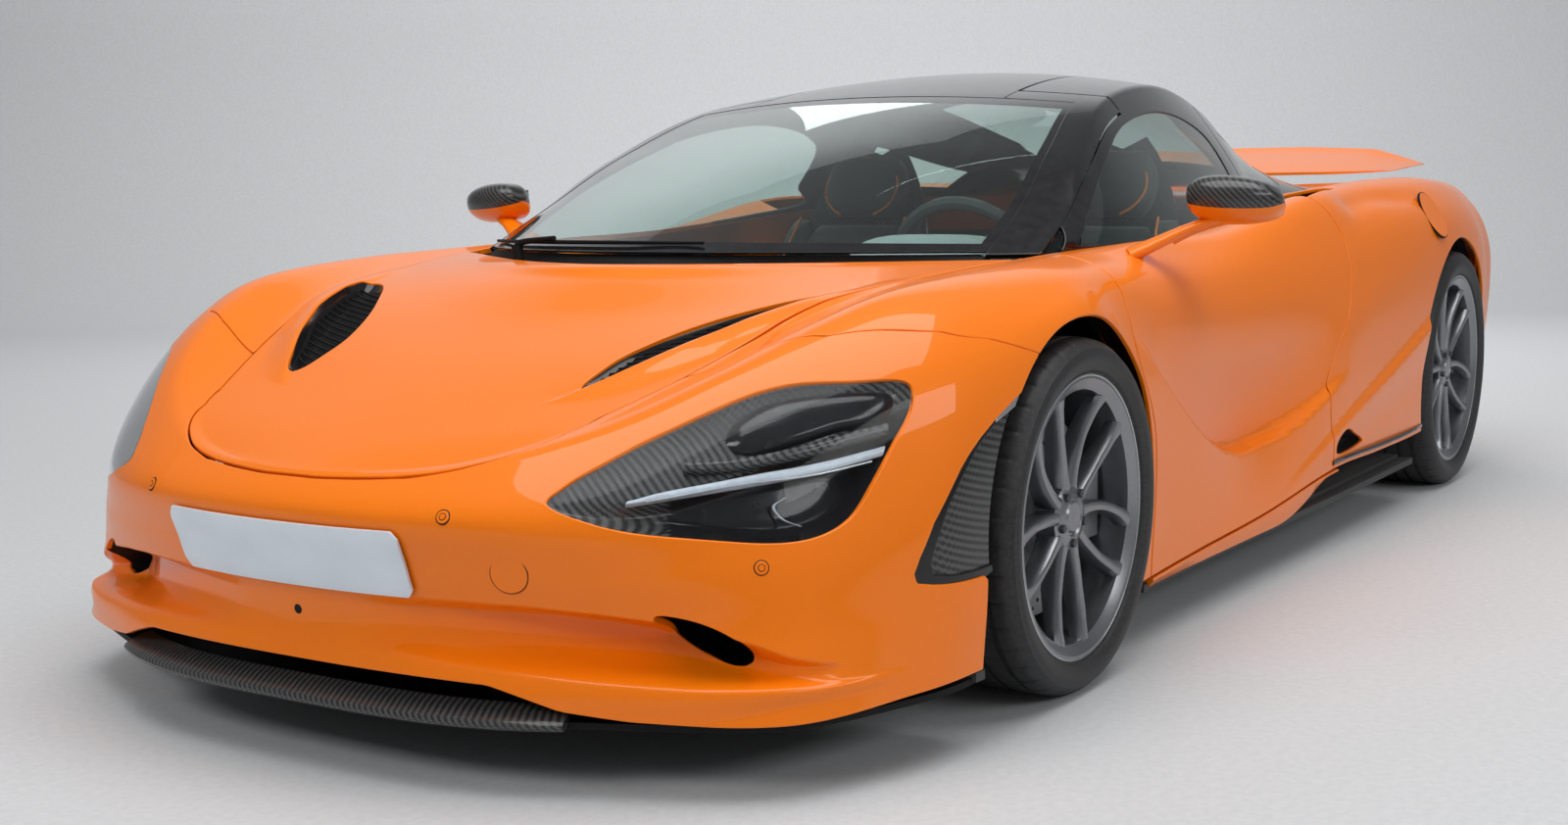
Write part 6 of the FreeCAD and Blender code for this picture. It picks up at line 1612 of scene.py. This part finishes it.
def cushion(rows, across, channels=0, crown=0.008, corner=3.2):
    """A padded closed form with sewn channels.

    Columns of its rows: x from the front axle, z, half width, half thickness, lean in x and z.
    """
    rings = []
    places = np.linspace(0, len(rows) - 1, 44)
    for share, (x, z, half_w, half_t, lean_x, lean_z) in zip(np.linspace(0, 1, 44),
            extended(np.array(rows, float), places)):
        close = max(1 - abs(2 * share - 1) ** 7, 0.03) ** 0.5
        seam = 0.0028 * sum(math.exp(-((share - (c + 1) / (channels + 1)) / 0.012) ** 2)
                            for c in range(channels))
        length = math.hypot(lean_x, lean_z)
        ring = []
        for a in 2 * math.pi * np.arange(40) / 40:
            c, s = math.cos(a), math.sin(a)
            w = half_w * math.copysign(abs(c) ** (2 / corner), c) * (1 - 0.05 * (1 - close))
            h = half_t * close * math.copysign(abs(s) ** (2 / corner), s)
            h += crown * close * (1 - (w / half_w) ** 2) * (1 if s > 0 else 0) - (seam if s > 0.2 else 0)
            w -= math.copysign(0.002 * math.exp(-(s / 0.12) ** 2), w)
            ring.append((FRONT_AXLE + x + h * lean_x / length, across + w, z + h * lean_z / length))
        rings.append(ring)
    return rings


# Seat cushions: columns as cushion() takes them; then channels and half-width place of each bolster
SEAT_PADS = {
    "base": (((-0.790, 0.345, 0.150, 0.030, 0.1, 1), (-0.86, 0.345, 0.165, 0.036, 0.1, 1),
              (-1.00, 0.315, 0.170, 0.040, 0.15, 1),
              (-1.14, 0.288, 0.165, 0.040, 0.2, 1), (-1.235, 0.285, 0.150, 0.030, 0.4, 1)), 5, 0.008),
    "back": (((-1.245, 0.330, 0.140, 0.030, 1, 0.3), (-1.285, 0.430, 0.160, 0.036, 1, 0.28),
              (-1.345, 0.590, 0.165, 0.036, 1, 0.3),
              (-1.40, 0.730, 0.155, 0.034, 1, 0.3), (-1.432, 0.800, 0.130, 0.026, 1, 0.3)), 6, 0.008),
    "head": (((-1.452, 0.825, 0.105, 0.030, 1, 0.25), (-1.470, 0.880, 0.125, 0.040, 1, 0.22),
              (-1.490, 0.945, 0.118, 0.038, 1, 0.2),
              (-1.502, 0.990, 0.085, 0.026, 1, 0.2)), 1, 0.010)}
SEAT_BOLSTERS = (
    (((-0.815, 0.365, 0.024, 0.030, 0.1, 1), (-0.90, 0.385, 0.033, 0.048, 0.1, 1),
      (-1.03, 0.370, 0.036, 0.060, 0.15, 1),
      (-1.16, 0.345, 0.034, 0.062, 0.2, 1), (-1.235, 0.335, 0.026, 0.050, 0.4, 1)), 0.182),
    (((-1.225, 0.360, 0.026, 0.050, 1, 0.3), (-1.255, 0.450, 0.034, 0.066, 1, 0.3),
      (-1.315, 0.590, 0.036, 0.066, 1, 0.3),
      (-1.385, 0.730, 0.034, 0.046, 1, 0.3), (-1.430, 0.815, 0.026, 0.026, 1, 0.3)), 0.178))
# Carbon shell under and behind the cushions: x, z, half width
SEAT_SHELL = ((-0.80, 0.250, 0.17), (-0.98, 0.235, 0.20), (-1.20, 0.225, 0.205), (-1.315, 0.30, 0.210),
              (-1.375, 0.50, 0.218),
              (-1.44, 0.70, 0.212), (-1.500, 0.83, 0.17), (-1.545, 0.93, 0.115), (-1.560, 0.99, 0.07))
# Piping: x, place across and z, up the back and along the base
BACK_PIPING = ((-1.175, 0.182, 0.425), (-1.20, 0.18, 0.50), (-1.247, 0.178, 0.60), (-1.332, 0.176, 0.735),
               (-1.395, 0.165, 0.825))
BASE_PIPING = ((-0.80, 0.182, 0.400), (-0.90, 0.183, 0.434), (-1.03, 0.183, 0.434), (-1.14, 0.183, 0.415))


def seat_shell(y):
    rings = []
    for x, z, half in SEAT_SHELL:
        x += FRONT_AXLE
        front = [(x + 0.012, y - half, z + 0.035), (x, y - half * 0.8, z), (x, y, z - 0.004),
                 (x, y + half * 0.8, z),
                 (x + 0.012, y + half, z + 0.035)]
        back = [(x, y + half, z + 0.020), (x - 0.012, y + half * 0.8, z - 0.016), (x - 0.012, y, z - 0.020),
                (x - 0.012, y - half * 0.8, z - 0.016), (x, y - half, z + 0.020)]
        rings.append(front + back)
    return lofted(list(extended(np.array(rings), np.linspace(0, len(rings) - 1, 48))), CARBON)


seat_shells, seat_piping = [], []
for tag, side in (("l", 1), ("r", -1)):
    y = side * SEAT_Y
    for pad, (rows, channels, crown) in SEAT_PADS.items():
        made = solid("seat_%s_%s_cushion" % (tag, pad), [lofted(cushion(rows, y, channels, crown), HIDE)],
                     "chassis",
                     ("seats",), sharp=60)
    for k, (edge, (rows, out)) in enumerate((edge, bolster) for edge in (-1, 1)
            for bolster in SEAT_BOLSTERS):
        made = solid("seat_%s_bolster_%d" % (tag, k + 1), [lofted(cushion(rows, y + edge * out, crown=0.004,
                corner=2.4), HIDE)],
                     "chassis", ("seats",), sharp=60)
    seat_shells.append(seat_shell(y))
    ring = [(FRONT_AXLE - 1.446 - 0.03 * math.sin(a), y + 0.112 * math.cos(a), 0.905 + 0.082 * math.sin(a))
            for a in np.linspace(math.radians(-62), math.radians(242), 22)]
    seat_piping.append(tube(ring, 0.0036, PIPING, 8, up=(1, 0, 0)))
    for edge in (-1, 1):
        for path in (BACK_PIPING, BASE_PIPING):
            seat_piping.append(tube([(FRONT_AXLE + x, y + edge * out, z) for x, out, z in path], 0.0036,
                                    PIPING, 8, up=(0, 1, 0)))
solid("seat_shells", seat_shells, "chassis")
solid("seat_piping", seat_piping, "chassis", sharp=60)

# Instrument hood before the steering wheel, pale like the dashboard's top
# Columns: x from the front axle, half width, lower and upper edge
HOOD = ((-0.585, 0.150, 0.735, 0.782), (-0.575, 0.168, 0.730, 0.800), (-0.540, 0.176, 0.728, 0.812),
        (-0.480, 0.170, 0.730, 0.808),
        (-0.42, 0.15, 0.735, 0.792), (-0.375, 0.11, 0.742, 0.768))
HOOD_SCREEN = ((-0.5895, 0.128, 0.744, 0.774), (-0.5865, 0.132, 0.742, 0.777))
hood = []
for x, half, low, high in HOOD:
    ring = []
    for a in np.linspace(0, 2 * math.pi, 28, endpoint=False):
        c, s = math.cos(a), math.sin(a)
        ring.append((FRONT_AXLE + x, SEAT_Y + half * math.copysign(abs(c) ** 0.6, c),
                     (low + high) / 2 + (high - low) / 2 * math.copysign(abs(s) ** 0.7, s)))
    hood.append(ring)
hood = list(extended(np.array(hood), np.linspace(0, len(hood) - 1, 26)))
hood_screen = [[(FRONT_AXLE + x, SEAT_Y + half * c, z) for c,
                z in ((-1, low), (-1, high), (1, high), (1, low))]
               for x, half, low, high in HOOD_SCREEN]
solid("instrument_hood", [lofted(hood, PALE_HIDE), lofted(hood_screen, GLOSS_BLACK)], "chassis",
      sharp=60)

top_pad = []
for y in np.linspace(-0.66, 0.66, 56):
    edge = 1 - eased((abs(y) - 0.58) / 0.1)
    top = ((-0.215, 0.745), (-0.33, 0.7525 + 0.008 * edge), (-0.43, 0.742 + 0.010 * edge),
           (-0.52, 0.724 + 0.008 * edge),
           (-0.585, 0.679))
    foot = ((-0.580, 0.672), (-0.515, 0.716), (-0.43, 0.734), (-0.33, 0.746), (-0.215, 0.740))
    top_pad.append([(FRONT_AXLE + x, y, z) for x, z in top + foot])
solid("dashboard_top_pad", [lofted(top_pad, HIDE)], "chassis", sharp=50)
display = [[(FRONT_AXLE + x + back, y, z) for back, y in ((-0.012, -0.070), (-0.014, 0.070), (0, 0.074),
        (0, -0.074))]
           for x, z in ((-0.600, 0.575), (-0.625, 0.665))]
solid("centre_display", [lofted(display, GLOSS_BLACK)], "chassis", bevel=0.002)

# Section of the door card: y, z; its inner face swells in the middle
DOOR_CARD = ((0.800, 0.42), (0.770, 0.44), (0.758, 0.55), (0.765, 0.68), (0.762, 0.745), (0.790, 0.757),
             (0.800, 0.75))
DOOR_STRIPE = ((-0.35, 0.742, 0.735), (-0.62, 0.752, 0.752), (-0.95, 0.755, 0.748), (-1.25, 0.742, 0.735))
for tag, side, body_name in (("l", 1, "door_left"), ("r", -1, "door_right")):
    card = []
    for x in np.linspace(-0.36, -1.30, 30):
        bulge = 0.012 * math.sin(math.pi * (x + 0.36) / -0.94)
        card.append([(FRONT_AXLE + x, side * (y - (bulge if y < 0.79 else 0)), z) for y, z in DOOR_CARD])
    stripe = [(FRONT_AXLE + x, side * y, z) for x, y, z in DOOR_STRIPE]
    solid("door_%s_trim" % tag, [lofted(card, HIDE), tube(stripe, 0.010, PIPING, 12, flat=0.7)], body_name,
          sharp=45)

# Carried-over CAD nodes take their materials
for name, made in frame["nodes"].items():
    row = next((m for m in frame["record"].get("materials", []) if name in m.get("nodes", [])), None)
    if row and row["slot"] in SLOT_MATERIALS:
        made.data.materials.clear()
        made.data.materials.append(SLOT_MATERIALS[row["slot"]])


# Floor, backdrop, lamps and camera
CAMERA_YAW, CAMERA_PITCH, CAMERA_ROLL = 213.138, -8.924, -0.887


def studio_floor():
    """A floor that rises in a curve to a wall behind the car, square to the camera's view."""
    reach, wall, bend, height = 40.0, 9.0, 2.0, 9.0
    turn = math.radians(CAMERA_YAW)
    profile = [(-reach, 0.0), *[(wall - bend + bend * math.sin(a), bend - bend * math.cos(a))
                                for a in np.linspace(0, math.pi / 2, 14)], (wall, height)]
    vertices = [(math.cos(turn) * away - math.sin(turn) * across,
                 math.sin(turn) * away + math.cos(turn) * across, up)
                for across in np.linspace(-reach, reach, 9) for away, up in profile]
    mesh = bpy.data.meshes.new("studio_floor")
    mesh.from_pydata(vertices, [], [face[::-1] for face in grid_faces(9, len(profile))])
    mesh.polygons.foreach_set("use_smooth", [True] * len(mesh.polygons))
    material, nodes, links, shader = principled("studio_floor", (0.60, 0.61, 0.62), 0.55)
    noise = grain(nodes, links, 60, 5)
    tint = ramp(nodes, links, noise.outputs["Fac"], ((0.3, (0.57, 0.58, 0.59)), (0.7, (0.63, 0.64, 0.65))))
    links.new(tint.outputs["Color"], shader.inputs["Base Color"])
    mesh.materials.append(material)
    made = bpy.data.objects.new("studio_floor", mesh)
    bpy.context.scene.collection.objects.link(made)


studio_floor()


def lamp(name, position, target, size, power, mirrored=True):
    data = bpy.data.lights.new(name, "AREA")
    data.shape = "RECTANGLE"
    data.size, data.size_y = size
    data.energy = power
    made = bpy.data.objects.new(name, data)
    made.visible_glossy = mirrored
    bpy.context.scene.collection.objects.link(made)
    made.matrix_world = Matrix.Translation(position) @ (Vector(position)
            - Vector(target)).to_track_quat("Z", "Y").to_matrix().to_4x4()


lamp("overhead", (1.2, 1.0, 5.4), (0.4, 0.2, 0.5), (6.0, 4.0), 250)
lamp("front_key", (6.4, -0.6, 3.8), (1.0, 0.0, 0.5), (3.2, 1.4), 90, mirrored=False)
lamp("side_fill", (1.6, 7.0, 3.6), (0.0, 0.8, 0.5), (6.5, 1.6), 120)
lamp("tail_rim", (-5.4, -2.5, 3.4), (-1.5, 0.0, 0.7), (3.0, 1.5), 70, mirrored=False)
lamp("backdrop_wash", (-3.4, -2.2, 7.0), (-8.2, -5.4, 2.2), (9.0, 2.0), 420, mirrored=False)

world = bpy.context.scene.world or bpy.data.worlds.new("World")
bpy.context.scene.world = world
world.use_nodes = True
world_nodes, world_links = world.node_tree.nodes, world.node_tree.links
world_nodes.clear()
out = world_nodes.new("ShaderNodeOutputWorld")
path = world_nodes.new("ShaderNodeLightPath")
seen = world_nodes.new("ShaderNodeBackground")
seen.inputs["Color"].default_value = (0.80, 0.81, 0.82, 1)
seen.inputs["Strength"].default_value = 1.0
soft = world_nodes.new("ShaderNodeBackground")
soft.inputs["Color"].default_value = (0.95, 0.97, 1.0, 1)
soft.inputs["Strength"].default_value = 0.26
mix = world_nodes.new("ShaderNodeMixShader")
world_links.new(path.outputs["Is Camera Ray"], mix.inputs[0])
world_links.new(soft.outputs[0], mix.inputs[1])
world_links.new(seen.outputs[0], mix.inputs[2])
world_links.new(mix.outputs[0], out.inputs["Surface"])

camera_data = bpy.data.cameras.new("camera")
camera = bpy.data.objects.new("camera", camera_data)
bpy.context.scene.collection.objects.link(camera)
bpy.context.scene.camera = camera
camera_data.sensor_width = 36.0
# Focal length and shift in pixels of the photograph's width
PHOTO_WIDTH, FOCAL, SHIFT_X, SHIFT_Y = 1600, 1947.1, 12.04, 57.15
camera_data.lens = FOCAL / PHOTO_WIDTH * camera_data.sensor_width
camera_data.shift_x = SHIFT_X / PHOTO_WIDTH
camera_data.shift_y = SHIFT_Y / PHOTO_WIDTH
camera_data.clip_end = 100.0
yaw, pitch, roll = (math.radians(angle) for angle in (CAMERA_YAW, CAMERA_PITCH, CAMERA_ROLL))
ahead = Vector((math.cos(yaw) * math.cos(pitch), math.sin(yaw) * math.cos(pitch), math.sin(pitch)))
level = Vector((math.sin(yaw), -math.cos(yaw), 0))
upright = level.cross(ahead)
right = level * math.cos(roll) + upright * math.sin(roll)
upward = level * -math.sin(roll) + upright * math.cos(roll)
turned = Matrix((right, upward, -ahead)).transposed().to_4x4()
camera.matrix_world = Matrix.Translation((4.37585, 2.33404, 0.95944)) @ turned

bpy.context.scene.view_settings.view_transform = "Standard"
